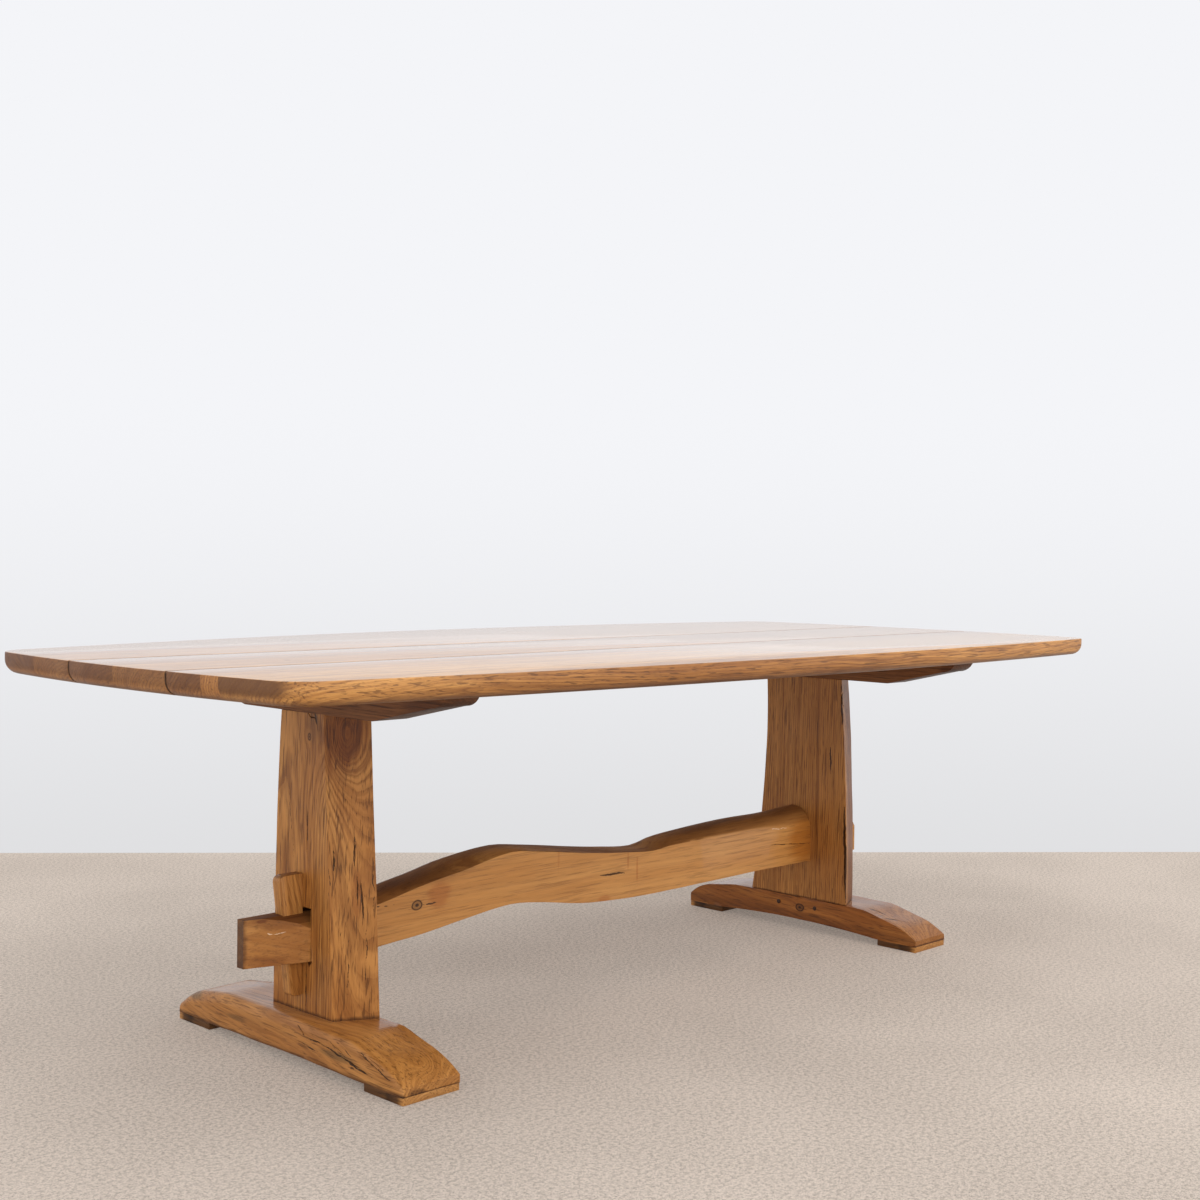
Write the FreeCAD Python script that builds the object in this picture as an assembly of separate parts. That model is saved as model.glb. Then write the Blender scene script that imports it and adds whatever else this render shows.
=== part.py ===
import FreeCAD, Part
import math
import os

# A trestle dining table in solid wood: a boat-shaped top of seven boards on two cleats,
# two bevelled slab legs on long feet, and a curved stretcher whose through tenons are
# locked by a tapered key at each end. Lengths are in millimetres. X runs along the top,
# Y across it, Z up, and the origin is on the floor under the middle of the top.

Vector = FreeCAD.Vector
UP = Vector(0, 0, 1)

# Driving dimensions of the top
TABLE_HEIGHT = 750.0
TOP_LENGTH = 2482.0
TOP_END_BOW = 45.0
TOP_WIDTH = 1194.0
TOP_SIDE_BOW = 67.0
TOP_FAR_CREST = 360.0
TOP_THICKNESS = 40.0
TOP_CORNER_RADIUS = 62.0
TOP_UNDER_ROUND = 26.0
TOP_ARRIS = 2.0

# Joints between the boards, from the far side to the near side, measured at the left end
BOARD_JOINTS = [
    ("glued", 193.0),
    ("open", 56.0),
    ("glued", -89.0),
    ("open", -239.0),
    ("glued", -327.0),
    ("glued", -369.0),
]
BOARD_SKEW = 85.0
OPEN_JOINT_WIDTH = 2.5
TONGUE_THICKNESS = 10.0
TONGUE_WIDTH = 28.0
TONGUE_END_STOP = 110.0

# Trestles
LEG_CENTRE_X = 758.0
LEG_THICKNESS = 80.0
LEG_BEVEL_ACROSS = 37.0
LEG_WAIST_HEIGHT = 360.0
CLEAT_DEPTH = 70.0
CLEAT_WIDTH = 80.0
CLEAT_END_DEPTH = 34.0
CLEAT_NOSE_RUN = 38.0
FOOT_LENGTH = 710.0
FOOT_WIDTH = 126.0
FOOT_REVEAL = 2.0
FOOT_TOP_HEIGHT = 80.0
FOOT_FLAT_LENGTH = 410.0
PAD_LENGTH = 109.0
PAD_THICKNESS = 14.0
PAD_ARRIS = 1.5

# The toes at the near and the far end of a foot: the length of the rounding, the drop to
# its start, how full it is, and the height of its end
FOOT_TOES = {
    -1: (85.0, 17.0, 0.57, 28.0),
    1: (65.0, 13.0, 0.60, 34.0),
}

# How far each leg's inner face reaches to either side at its foot, its waist and its head,
# the length over which the cleat is level and its reach to the near and the far side, the
# places of its screws across the top, the rise of the arch under the foot, and the reach of
# the stretcher's tenon past the leg and its thickness there
TRESTLES = {
    "left": {
        "side": -1,
        "far_edge": (131.0, 126.0, 113.0),
        "near_edge": (131.0, 114.0, 94.0),
        "cleat_level": 400.0,
        "cleat_reaches": (402.0, 400.0),
        "screw_rows": (-300.0, -143.0, 165.0, 300.0),
        "foot_arch": 2.0,
        "tenon_reach": 122.0,
        "tenon_end": 20.0,
    },
    "right": {
        "side": 1,
        "far_edge": (148.0, 114.0, 109.0),
        "near_edge": (150.0, 143.0, 124.0),
        "cleat_level": 516.0,
        "cleat_reaches": (448.0, 448.0),
        "screw_rows": (-350.0, -143.0, 165.0, 350.0),
        "foot_arch": 10.0,
        "tenon_reach": 130.0,
        "tenon_end": 56.0,
    },
}

# Joinery hidden in the trestles
LEG_TENON_THICKNESS = 30.0
HEAD_TENON_WIDTH = 100.0
FOOT_TENON_WIDTH = 170.0
MORTISE_FLOOR = 12.0
WEDGE_OFFSET = 25.0
WEDGE_LENGTH = 40.0
WEDGE_HEAD = 5.0
WEDGE_TIP = 1.5
PEG_RADIUS = 5.5
PEG_SPACING = 114.0
PEG_DROP = 21.0

# Stretcher stations from shoulder to shoulder: the place as a share of the way from the
# middle to a leg, the underside above the tenon's underside, and the near arris and the
# crest above the tenon's top
STRETCHER_THICKNESS = 76.0
STRETCHER_STATIONS = [
    (-1.0, 0.0, -11.0, 9.0),
    (-0.89, 7.0, 1.0, 17.0),
    (-0.75, 14.0, 21.0, 33.0),
    (-0.61, 26.0, 36.0, 53.0),
    (-0.43, 38.0, 57.0, 64.0),
    (-0.31, 30.0, 48.0, 55.0),
    (-0.125, 9.0, 29.0, 35.0),
    (0.03, 2.0, 16.0, 20.0),
    (0.18, -1.0, 7.0, 11.0),
    (0.26, -1.0, 12.0, 24.0),
    (0.4, 0.0, 13.0, 33.0),
    (0.6, 1.0, 13.0, 39.0),
    (0.82, 1.0, 9.0, 40.0),
    (1.0, 0.0, -1.0, 46.0),
]
# The rounded upper edge, as shares of the half thickness and of the rise to the crest
STRETCHER_ROUND = [(-1.0, 0.0), (-0.7, 0.5), (-0.2, 0.9), (0.6, 1.0), (1.0, 0.6)]
STRETCHER_TENON_BASE = 178.0
STRETCHER_TENON_HEIGHT = 89.0
STRETCHER_TENON_THICKNESS = 56.0
STRETCHER_TENON_OFFSET = 4.0
TENON_BEVEL_ACROSS = 26.0
TENON_BEVEL_DOWN = 27.0
MORTISE_HEADROOM = 10.0

# Keys that lock the tenons
KEY_THICKNESS = 24.0
KEY_FAR_CHEEK = 8.0
KEY_ABOVE_TENON = 73.0
KEY_BELOW_TENON = 66.0
KEY_HEAD_DEPTH = 54.0
KEY_TIP_DEPTH = 25.0
KEY_HEAD_ROUND = 14.0
KEY_TIP_ROUND = 9.0
KEY_SLOT_INSET = 4.0
KEY_SIDE_CLEARANCE = 0.4
KEY_WEDGE_CLEARANCE = 0.1

# Screws that hold the top to the cleats and the pads to the feet
TOP_SCREW_RADIUS = 4.0
TOP_SCREW_COVER = 14.0
TOP_SCREW_HEAD_RADIUS = 7.0
TOP_SCREW_HEAD_HEIGHT = 5.5
WASHER_RADIUS = 10.0
WASHER_THICKNESS = 2.0
WASHER_SEAT_DEPTH = 30.0
COUNTERBORE_MARGIN = 1.5
PAD_SCREW_RADIUS = 2.2
PAD_SCREW_HEAD_RADIUS = 4.5
PAD_SCREW_HEAD_HEIGHT = 3.0
PAD_SCREW_RECESS = 5.0
PAD_SCREW_LENGTH = 27.0
PAD_SCREW_INSET = 27.0

FIT_CLEARANCE = 0.1
TOLERANCE = 0.05

UNDERSIDE = TABLE_HEIGHT - TOP_THICKNESS
CLEAT_BASE = UNDERSIDE - CLEAT_DEPTH
LEG_INNER = LEG_CENTRE_X - LEG_THICKNESS / 2
LEG_OUTER = LEG_CENTRE_X + LEG_THICKNESS / 2
FOOT_INNER = LEG_INNER - FOOT_REVEAL
FOOT_CENTRE_X = FOOT_INNER + FOOT_WIDTH / 2
TENON_NEAR = STRETCHER_TENON_OFFSET - STRETCHER_TENON_THICKNESS / 2
TENON_FAR = STRETCHER_TENON_OFFSET + STRETCHER_TENON_THICKNESS / 2
TENON_TOP = STRETCHER_TENON_BASE + STRETCHER_TENON_HEIGHT
KEY_TOP = TENON_TOP + KEY_ABOVE_TENON
KEY_BASE = STRETCHER_TENON_BASE - KEY_BELOW_TENON
KEY_CENTRE_Y = TENON_FAR - KEY_FAR_CHEEK - KEY_THICKNESS / 2
PEG_HEIGHT = FOOT_TOP_HEIGHT - PEG_DROP
SCREW_TOP = TABLE_HEIGHT - TOP_SCREW_COVER
WASHER_SEAT = UNDERSIDE - WASHER_SEAT_DEPTH


def span_box(x_range, y_range, z_range):
    """A box between two corners, given as a low and a high value along each axis."""
    size = [high - low for low, high in (x_range, y_range, z_range)]
    return Part.makeBox(*size, Vector(x_range[0], y_range[0], z_range[0]))


def centred_box(centre_x, centre_y, length, width, z_range):
    """A box centred in plan on a point."""
    return span_box((centre_x - length / 2, centre_x + length / 2),
                    (centre_y - width / 2, centre_y + width / 2), z_range)


def upright(radius, x, y, z_range):
    """A vertical cylinder between two heights."""
    return Part.makeCylinder(radius, z_range[1] - z_range[0], Vector(x, y, z_range[0]))


def prism(points, direction):
    """A closed polygon pushed along a direction."""
    return Part.Face(Part.makePolygon(points + points[:1])).extrude(direction)


def mirrored(shape, side):
    """The shape as drawn for the right end, or its mirror image for the left end."""
    if side > 0:
        return shape
    return shape.mirror(Vector(0, 0, 0), Vector(1, 0, 0))


def arc_through(start, middle, end):
    """An arc edge through three points."""
    return Part.Arc(start, middle, end).toShape()


def edges_at_height(shape, height):
    """The edges that lie level at one height."""
    return [edge for edge in shape.Edges
            if abs(edge.BoundBox.ZMin - height) < TOLERANCE
            and abs(edge.BoundBox.ZMax - height) < TOLERANCE]


def bow_radius(chord, bow):
    """The radius of an arc that rises by a bow over half of its chord."""
    return (chord * chord + bow * bow) / (2 * bow)


def top_corner(side_centre, side_radius, end_centre, end_radius, x_sign, y_sign):
    """A rounded corner's ends and middle, tangent to the arcs of a side and of an end."""
    side_circle = Part.Circle(side_centre, UP, side_radius - TOP_CORNER_RADIUS)
    end_circle = Part.Circle(end_centre, UP, end_radius - TOP_CORNER_RADIUS)
    meetings = [Vector(point.X, point.Y, 0) for point in side_circle.intersect(end_circle)]
    corner = max(meetings, key=lambda point: point.x * x_sign + point.y * y_sign)
    outward_side = (corner - side_centre).normalize()
    outward_end = (corner - end_centre).normalize()
    outward_middle = (outward_side + outward_end).normalize()
    return [UP * UNDERSIDE + corner + outward * TOP_CORNER_RADIUS
            for outward in (outward_side, outward_middle, outward_end)]


def top_outline():
    """The plan of the top: bowed sides and ends joined by rounded corners, all tangent. The
    far side is fullest towards the right end and falls away to the left."""
    half_length = TOP_LENGTH / 2
    half_width = TOP_WIDTH / 2
    reach = half_length - TOP_END_BOW
    end_radius = bow_radius(half_width - TOP_SIDE_BOW, TOP_END_BOW)
    crests = {1: TOP_FAR_CREST, -1: 0.0}
    radii = {sign: bow_radius(reach - crest, TOP_SIDE_BOW) for sign, crest in crests.items()}
    side_centres = {sign: Vector(crest, sign * (half_width - radii[sign]), 0)
                    for sign, crest in crests.items()}
    end_centres = {sign: Vector(sign * (half_length - end_radius), 0, 0) for sign in (-1, 1)}
    corners = {(x_sign, y_sign): top_corner(side_centres[y_sign], radii[y_sign],
                                            end_centres[x_sign], end_radius, x_sign, y_sign)
               for x_sign in (-1, 1) for y_sign in (-1, 1)}
    edges = [arc_through(*corner) for corner in corners.values()]
    for sign in (-1, 1):
        side_middle = Vector(crests[sign], sign * half_width, UNDERSIDE)
        end_middle = Vector(sign * half_length, 0, UNDERSIDE)
        edges.append(arc_through(corners[1, sign][0], side_middle, corners[-1, sign][0]))
        edges.append(arc_through(corners[sign, 1][2], end_middle, corners[sign, -1][2]))
    return Part.Wire(Part.__sortEdges__(edges))


def top_slab():
    """The whole boat-shaped top before it is divided into boards."""
    slab = Part.Face(top_outline()).extrude(UP * TOP_THICKNESS)
    under_round = min(TOP_UNDER_ROUND, TOP_THICKNESS - 2 * TOP_ARRIS)
    slab = slab.makeFillet(under_round, edges_at_height(slab, UNDERSIDE))
    return slab.makeChamfer(TOP_ARRIS, edges_at_height(slab, TABLE_HEIGHT))


def strip_across(low_joint, high_joint, low_inset, high_inset, x_reach, z_range):
    """A strip that follows the skew of the boards between two joint lines."""
    def y_at(joint, x):
        return joint + BOARD_SKEW * (x + TOP_LENGTH / 2) / TOP_LENGTH
    points = [Vector(-x_reach, y_at(low_joint, -x_reach) + low_inset, z_range[0]),
              Vector(x_reach, y_at(low_joint, x_reach) + low_inset, z_range[0]),
              Vector(x_reach, y_at(high_joint, x_reach) - high_inset, z_range[0]),
              Vector(-x_reach, y_at(high_joint, -x_reach) - high_inset, z_range[0])]
    return prism(points, UP * (z_range[1] - z_range[0]))


def tongue(joint, clearance):
    """The loose tongue in an open joint, or with a clearance the groove that holds it."""
    middle = UNDERSIDE + TOP_THICKNESS / 2
    half_thickness = TONGUE_THICKNESS / 2 + clearance
    half_width = TONGUE_WIDTH / 2 + clearance
    reach = TOP_LENGTH / 2 - TOP_END_BOW - TONGUE_END_STOP + clearance
    return strip_across(joint, joint, -half_width, -half_width, reach,
                        (middle - half_thickness, middle + half_thickness))


def top_screw_places(trestle):
    """Plan positions of the screws at a cleat, as drawn for the right end."""
    return [(LEG_CENTRE_X, y) for y in trestle["screw_rows"]]


def top_boards():
    """The seven boards, far side first, grooved for the tongues and drilled for the screws."""
    slab = top_slab()
    edge = TOP_WIDTH
    lines = [("edge", edge)] + BOARD_JOINTS + [("edge", -edge)]
    grooves = [tongue(y, FIT_CLEARANCE) for kind, y in BOARD_JOINTS if kind == "open"]
    bite = (UNDERSIDE, SCREW_TOP + COUNTERBORE_MARGIN)
    holes = [mirrored(upright(TOP_SCREW_RADIUS + FIT_CLEARANCE, x, y, bite), trestle["side"])
             for trestle in TRESTLES.values() for x, y in top_screw_places(trestle)]
    boards = []
    for (high_kind, high), (low_kind, low) in zip(lines, lines[1:]):
        insets = [OPEN_JOINT_WIDTH / 2 if kind == "open" else 0.0 for kind in (low_kind, high_kind)]
        strip = strip_across(low, high, insets[0], insets[1], TOP_LENGTH,
                             (UNDERSIDE - TOP_THICKNESS, TABLE_HEIGHT + TOP_THICKNESS))
        boards.append(slab.common(strip).cut(grooves + holes))
    return boards


def leg_profile(trestle, inset, x):
    """The outline of a leg in a plane across the table, drawn in on both edges."""
    heights = (FOOT_TOP_HEIGHT, LEG_WAIST_HEIGHT, CLEAT_BASE)
    near = [Vector(x, inset - y, z) for y, z in zip(trestle["near_edge"], heights)]
    far = [Vector(x, y - inset, z) for y, z in zip(trestle["far_edge"], heights)]
    return Part.Wire([arc_through(*near), Part.makeLine(near[2], far[2]),
                      arc_through(*reversed(far)), Part.makeLine(far[0], near[0])])


def foot_mortise_floor(trestle):
    """The height of the bottom of the mortise in a foot, over its arched underside."""
    return PAD_THICKNESS + trestle["foot_arch"] + MORTISE_FLOOR


def stretcher_mortise():
    """The through mortise in a leg: as wide as the tenon and a little taller."""
    return span_box((LEG_INNER - LEG_THICKNESS, LEG_OUTER + LEG_THICKNESS),
                    (TENON_NEAR - KEY_SIDE_CLEARANCE, TENON_FAR + KEY_SIDE_CLEARANCE),
                    (STRETCHER_TENON_BASE, TENON_TOP + MORTISE_HEADROOM))


def wedge(side_y, clearance):
    """A thin wedge driven down into the head tenon, or the kerf that it fills."""
    head = WEDGE_HEAD / 2 + clearance
    tip = WEDGE_TIP / 2 + clearance
    base = UNDERSIDE - WEDGE_LENGTH - clearance
    x = LEG_CENTRE_X - LEG_TENON_THICKNESS / 2
    points = [Vector(x, side_y - tip, base), Vector(x, side_y + tip, base),
              Vector(x, side_y + head, UNDERSIDE), Vector(x, side_y - head, UNDERSIDE)]
    return prism(points, Vector(LEG_TENON_THICKNESS, 0, 0))


def foot_peg(side_y, clearance):
    """A peg through the foot and the leg's lower tenon, or the hole that it fills."""
    start = Vector(FOOT_INNER, side_y, PEG_HEIGHT)
    return Part.makeCylinder(PEG_RADIUS + clearance, FOOT_WIDTH, start, Vector(1, 0, 0))


def leg(trestle):
    """A slab leg: edges bevelled from the wide inner face to the outer face, tenoned ends."""
    body = Part.makeLoft([leg_profile(trestle, 0.0, LEG_INNER),
                          leg_profile(trestle, LEG_BEVEL_ACROSS, LEG_OUTER)], True, True)
    head = centred_box(LEG_CENTRE_X, 0, LEG_TENON_THICKNESS, HEAD_TENON_WIDTH,
                       (CLEAT_BASE, UNDERSIDE))
    shoe = centred_box(LEG_CENTRE_X, 0, LEG_TENON_THICKNESS, FOOT_TENON_WIDTH,
                       (foot_mortise_floor(trestle), FOOT_TOP_HEIGHT))
    shape = body.fuse([head, shoe]).removeSplitter()
    cuts = [stretcher_mortise()]
    cuts += [wedge(sign * WEDGE_OFFSET, FIT_CLEARANCE) for sign in (-1, 1)]
    cuts += [foot_peg(sign * PEG_SPACING / 2, FIT_CLEARANCE) for sign in (-1, 1)]
    return shape.cut(cuts)


def tenon_wedges():
    """The two wedges of one head tenon."""
    return Part.makeCompound([wedge(sign * WEDGE_OFFSET, 0.0) for sign in (-1, 1)])


def foot_pegs():
    """The two pegs of one foot."""
    return Part.makeCompound([foot_peg(sign * PEG_SPACING / 2, 0.0) for sign in (-1, 1)])


def cleat(trestle):
    """The bearer under the top: level over the leg, tapered up to a rounded nose."""
    level = trestle["cleat_level"] / 2
    x = LEG_CENTRE_X - CLEAT_WIDTH / 2
    nose_z = UNDERSIDE - CLEAT_END_DEPTH
    bulge = math.sqrt(0.5)
    def nose(reach, sign):
        turn = reach - CLEAT_NOSE_RUN
        return [Vector(x, sign * turn, nose_z),
                Vector(x, sign * (turn + CLEAT_NOSE_RUN * bulge),
                       UNDERSIDE - CLEAT_END_DEPTH * bulge),
                Vector(x, sign * reach, UNDERSIDE)]
    near_reach, far_reach = trestle["cleat_reaches"]
    near = nose(near_reach, -1)
    far = nose(far_reach, 1)
    outline = [arc_through(*reversed(near)),
               Part.makeLine(near[0], Vector(x, -level, CLEAT_BASE)),
               Part.makeLine(Vector(x, -level, CLEAT_BASE), Vector(x, level, CLEAT_BASE)),
               Part.makeLine(Vector(x, level, CLEAT_BASE), far[0]),
               arc_through(*far),
               Part.makeLine(far[2], near[2])]
    body = Part.Face(Part.Wire(outline)).extrude(Vector(CLEAT_WIDTH, 0, 0))
    mortise = centred_box(LEG_CENTRE_X, 0, LEG_TENON_THICKNESS + 2 * FIT_CLEARANCE,
                          HEAD_TENON_WIDTH + 2 * FIT_CLEARANCE, (CLEAT_BASE, UNDERSIDE))
    cuts = [mortise]
    for hole_x, hole_y in top_screw_places(trestle):
        cuts.append(upright(TOP_SCREW_RADIUS + FIT_CLEARANCE, hole_x, hole_y,
                            (WASHER_SEAT, UNDERSIDE)))
        cuts.append(upright(WASHER_RADIUS + COUNTERBORE_MARGIN, hole_x, hole_y,
                            (CLEAT_BASE, WASHER_SEAT)))
    return body.cut(cuts)


def top_washers(trestle):
    """The washers under the heads of one cleat's screws."""
    span = (WASHER_SEAT - WASHER_THICKNESS, WASHER_SEAT)
    rings = []
    for x, y in top_screw_places(trestle):
        bore = upright(TOP_SCREW_RADIUS + FIT_CLEARANCE, x, y, span)
        rings.append(upright(WASHER_RADIUS, x, y, span).cut(bore))
    return Part.makeCompound(rings)


def top_screws(trestle):
    """The screws that draw the top down onto one cleat."""
    under_head = WASHER_SEAT - WASHER_THICKNESS
    screws = []
    for x, y in top_screw_places(trestle):
        head = upright(TOP_SCREW_HEAD_RADIUS, x, y,
                       (under_head - TOP_SCREW_HEAD_HEIGHT, under_head))
        shank = upright(TOP_SCREW_RADIUS, x, y, (under_head, SCREW_TOP))
        screws.append(head.fuse(shank))
    return Part.makeCompound(screws)


def foot_outline(trestle, x):
    """The side view of a foot: flat under the leg, sloping to a rounded toe at each end."""
    half = FOOT_LENGTH / 2
    flat = FOOT_FLAT_LENGTH / 2
    arch_end = half - PAD_LENGTH
    def toe(sign):
        run, slope_drop, fullness, end_height = FOOT_TOES[sign]
        turn = half - run
        drop = FOOT_TOP_HEIGHT - slope_drop - end_height
        return [Vector(x, sign * turn, end_height + drop),
                Vector(x, sign * (turn + run * fullness), end_height + drop * fullness),
                Vector(x, sign * half, end_height)]
    near = toe(-1)
    far = toe(1)
    near_flat = Vector(x, -flat, FOOT_TOP_HEIGHT)
    far_flat = Vector(x, flat, FOOT_TOP_HEIGHT)
    near_base = Vector(x, -half, PAD_THICKNESS)
    far_base = Vector(x, half, PAD_THICKNESS)
    arch = [Vector(x, arch_end, PAD_THICKNESS),
            Vector(x, 0, PAD_THICKNESS + trestle["foot_arch"]),
            Vector(x, -arch_end, PAD_THICKNESS)]
    return Part.Wire([Part.makeLine(near_base, near[2]), arc_through(*reversed(near)),
                      Part.makeLine(near[0], near_flat), Part.makeLine(near_flat, far_flat),
                      Part.makeLine(far_flat, far[0]), arc_through(*far),
                      Part.makeLine(far[2], far_base), Part.makeLine(far_base, arch[0]),
                      arc_through(*arch), Part.makeLine(arch[2], near_base)])


def pad_screw_places():
    """Plan positions of the screws in the right foot's pads."""
    half = FOOT_LENGTH / 2
    inner = half - PAD_LENGTH + PAD_SCREW_INSET
    outer = half - PAD_SCREW_INSET
    return [(FOOT_CENTRE_X, sign * offset) for offset in (inner, outer) for sign in (-1, 1)]


def foot(trestle):
    """One foot, mortised for the leg, drilled for its pegs and its pad screws."""
    body = Part.Face(foot_outline(trestle, FOOT_INNER)).extrude(Vector(FOOT_WIDTH, 0, 0))
    mortise = centred_box(LEG_CENTRE_X, 0, LEG_TENON_THICKNESS + 2 * FIT_CLEARANCE,
                          FOOT_TENON_WIDTH + 2 * FIT_CLEARANCE,
                          (foot_mortise_floor(trestle) - FIT_CLEARANCE, FOOT_TOP_HEIGHT))
    cuts = [mortise]
    cuts += [foot_peg(sign * PEG_SPACING / 2, FIT_CLEARANCE) for sign in (-1, 1)]
    screw_top = PAD_SCREW_RECESS + PAD_SCREW_LENGTH + FIT_CLEARANCE
    cuts += [upright(PAD_SCREW_RADIUS + FIT_CLEARANCE, x, y, (PAD_THICKNESS, screw_top))
             for x, y in pad_screw_places()]
    return body.cut(cuts)


def pad(end):
    """A wear pad under one end of a foot, with recessed screw heads."""
    half = FOOT_LENGTH / 2
    block = centred_box(FOOT_CENTRE_X, end * (half - PAD_LENGTH / 2), FOOT_WIDTH, PAD_LENGTH,
                        (0.0, PAD_THICKNESS))
    block = block.makeChamfer(PAD_ARRIS, edges_at_height(block, 0.0))
    cuts = []
    for x, y in pad_screw_places():
        if y * end > 0:
            cuts.append(upright(PAD_SCREW_RADIUS + FIT_CLEARANCE, x, y, (0.0, PAD_THICKNESS)))
            cuts.append(upright(PAD_SCREW_HEAD_RADIUS + FIT_CLEARANCE, x, y,
                                (0.0, PAD_SCREW_RECESS)))
    return block.cut(cuts)


def pad_screws():
    """The four screws that hold one foot's pads."""
    screws = []
    for x, y in pad_screw_places():
        head = upright(PAD_SCREW_HEAD_RADIUS, x, y,
                       (PAD_SCREW_RECESS - PAD_SCREW_HEAD_HEIGHT, PAD_SCREW_RECESS))
        shank = upright(PAD_SCREW_RADIUS, x, y,
                        (PAD_SCREW_RECESS, PAD_SCREW_RECESS + PAD_SCREW_LENGTH))
        screws.append(head.fuse(shank))
    return Part.makeCompound(screws)


def stretcher_section(share, underside, arris, crest):
    """One cross-section of the stretcher: sawn faces and a rounded upper edge."""
    x = share * LEG_INNER
    half = STRETCHER_THICKNESS / 2
    base = STRETCHER_TENON_BASE + underside
    points = [Vector(x, half, base), Vector(x, -half, base)]
    points += [Vector(x, across * half, TENON_TOP + arris + rise * (crest - arris))
               for across, rise in STRETCHER_ROUND]
    return Part.makePolygon(points + points[:1])


def key_outline(clearance, slot_inset):
    """Corners of a key in the plane of the stretcher, or of the slot that takes it."""
    inner = LEG_OUTER - slot_inset
    return [Vector(inner, 0, KEY_BASE), Vector(LEG_OUTER + KEY_TIP_DEPTH + clearance, 0, KEY_BASE),
            Vector(LEG_OUTER + KEY_HEAD_DEPTH + clearance, 0, KEY_TOP), Vector(inner, 0, KEY_TOP)]


def key_slot():
    """The tapered slot through a tenon."""
    width = KEY_THICKNESS + 2 * KEY_SIDE_CLEARANCE
    slot = prism(key_outline(KEY_WEDGE_CLEARANCE, KEY_SLOT_INSET), Vector(0, width, 0))
    return slot.translated(Vector(0, KEY_CENTRE_Y - width / 2, 0))


def key():
    """A tapered key: straight against the leg, sloping on its outer edge."""
    shape = prism(key_outline(0.0, 0.0), Vector(0, KEY_THICKNESS, 0))
    shape = shape.translated(Vector(0, KEY_CENTRE_Y - KEY_THICKNESS / 2, 0))
    def outer_edge(height, depth):
        return [edge for edge in shape.Edges
                if abs(edge.CenterOfMass.z - height) < TOLERANCE
                and abs(edge.CenterOfMass.x - LEG_OUTER - depth) < TOLERANCE]
    shape = shape.makeFillet(KEY_HEAD_ROUND, outer_edge(KEY_TOP, KEY_HEAD_DEPTH))
    return shape.makeFillet(KEY_TIP_ROUND, outer_edge(KEY_BASE, KEY_TIP_DEPTH))


def stretcher_tenon(trestle):
    """A tenon drawn for the right end, bevelled on its near arris and tapered past the leg."""
    bevel_y = TENON_NEAR + TENON_BEVEL_ACROSS
    bevel_z = TENON_TOP - TENON_BEVEL_DOWN
    section = [Vector(LEG_INNER, TENON_NEAR, STRETCHER_TENON_BASE),
               Vector(LEG_INNER, TENON_NEAR, bevel_z), Vector(LEG_INNER, bevel_y, TENON_TOP),
               Vector(LEG_INNER, TENON_FAR, TENON_TOP),
               Vector(LEG_INNER, TENON_FAR, STRETCHER_TENON_BASE)]
    reach = trestle["tenon_reach"]
    body = prism(section, Vector(LEG_THICKNESS + reach, 0, 0)).cut(key_slot())
    end_x = LEG_OUTER + reach
    end_y = TENON_FAR - trestle["tenon_end"]
    slope = (end_y - TENON_NEAR) / reach
    if slope > 0:
        overrun = KEY_SLOT_INSET
        waste = [Vector(LEG_OUTER, TENON_NEAR, 0),
                 Vector(end_x + overrun, end_y + slope * overrun, 0),
                 Vector(end_x + overrun, TENON_NEAR, 0)]
        body = body.cut(prism(waste, UP * TABLE_HEIGHT))
    return mirrored(body, trestle["side"])


def stretcher():
    """The curved stretcher with a keyed through tenon at each end."""
    sections = [stretcher_section(*station) for station in STRETCHER_STATIONS]
    beam = Part.makeLoft(sections, True, True)
    tenons = [stretcher_tenon(trestle) for trestle in TRESTLES.values()]
    return beam.fuse(tenons).removeSplitter()


def export(name, shape):
    """Write one node and print what it holds."""
    shape.exportStep("parts/" + name + ".step")
    box = shape.BoundBox
    print("%-24s solids %d valid %s volume %.1f x %.1f..%.1f y %.1f..%.1f z %.1f..%.1f" % (
        name, len(shape.Solids), shape.isValid(), shape.Volume,
        box.XMin, box.XMax, box.YMin, box.YMax, box.ZMin, box.ZMax))


def main():
    os.makedirs("parts", exist_ok=True)
    for number, board in enumerate(top_boards(), start=1):
        export("top_board_%d" % number, board)
    open_joints = [y for kind, y in BOARD_JOINTS if kind == "open"]
    for name, joint in zip(("far_tongue", "near_tongue"), open_joints):
        export(name, tongue(joint, 0.0))
    export("stretcher", stretcher())
    for name, trestle in TRESTLES.items():
        side = trestle["side"]
        export(name + "_leg", mirrored(leg(trestle), side))
        export(name + "_cleat", mirrored(cleat(trestle), side))
        export(name + "_tenon_wedges", mirrored(tenon_wedges(), side))
        export(name + "_top_screws", mirrored(top_screws(trestle), side))
        export(name + "_top_washers", mirrored(top_washers(trestle), side))
        export(name + "_foot", mirrored(foot(trestle), side))
        export(name + "_foot_pegs", mirrored(foot_pegs(), side))
        export(name + "_far_pad", mirrored(pad(1), side))
        export(name + "_near_pad", mirrored(pad(-1), side))
        export(name + "_pad_screws", mirrored(pad_screws(), side))
        export(name + "_key", mirrored(key(), side))


main()
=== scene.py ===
import math

import bmesh
import bpy
from mathutils import Euler, Matrix, Vector


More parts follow.
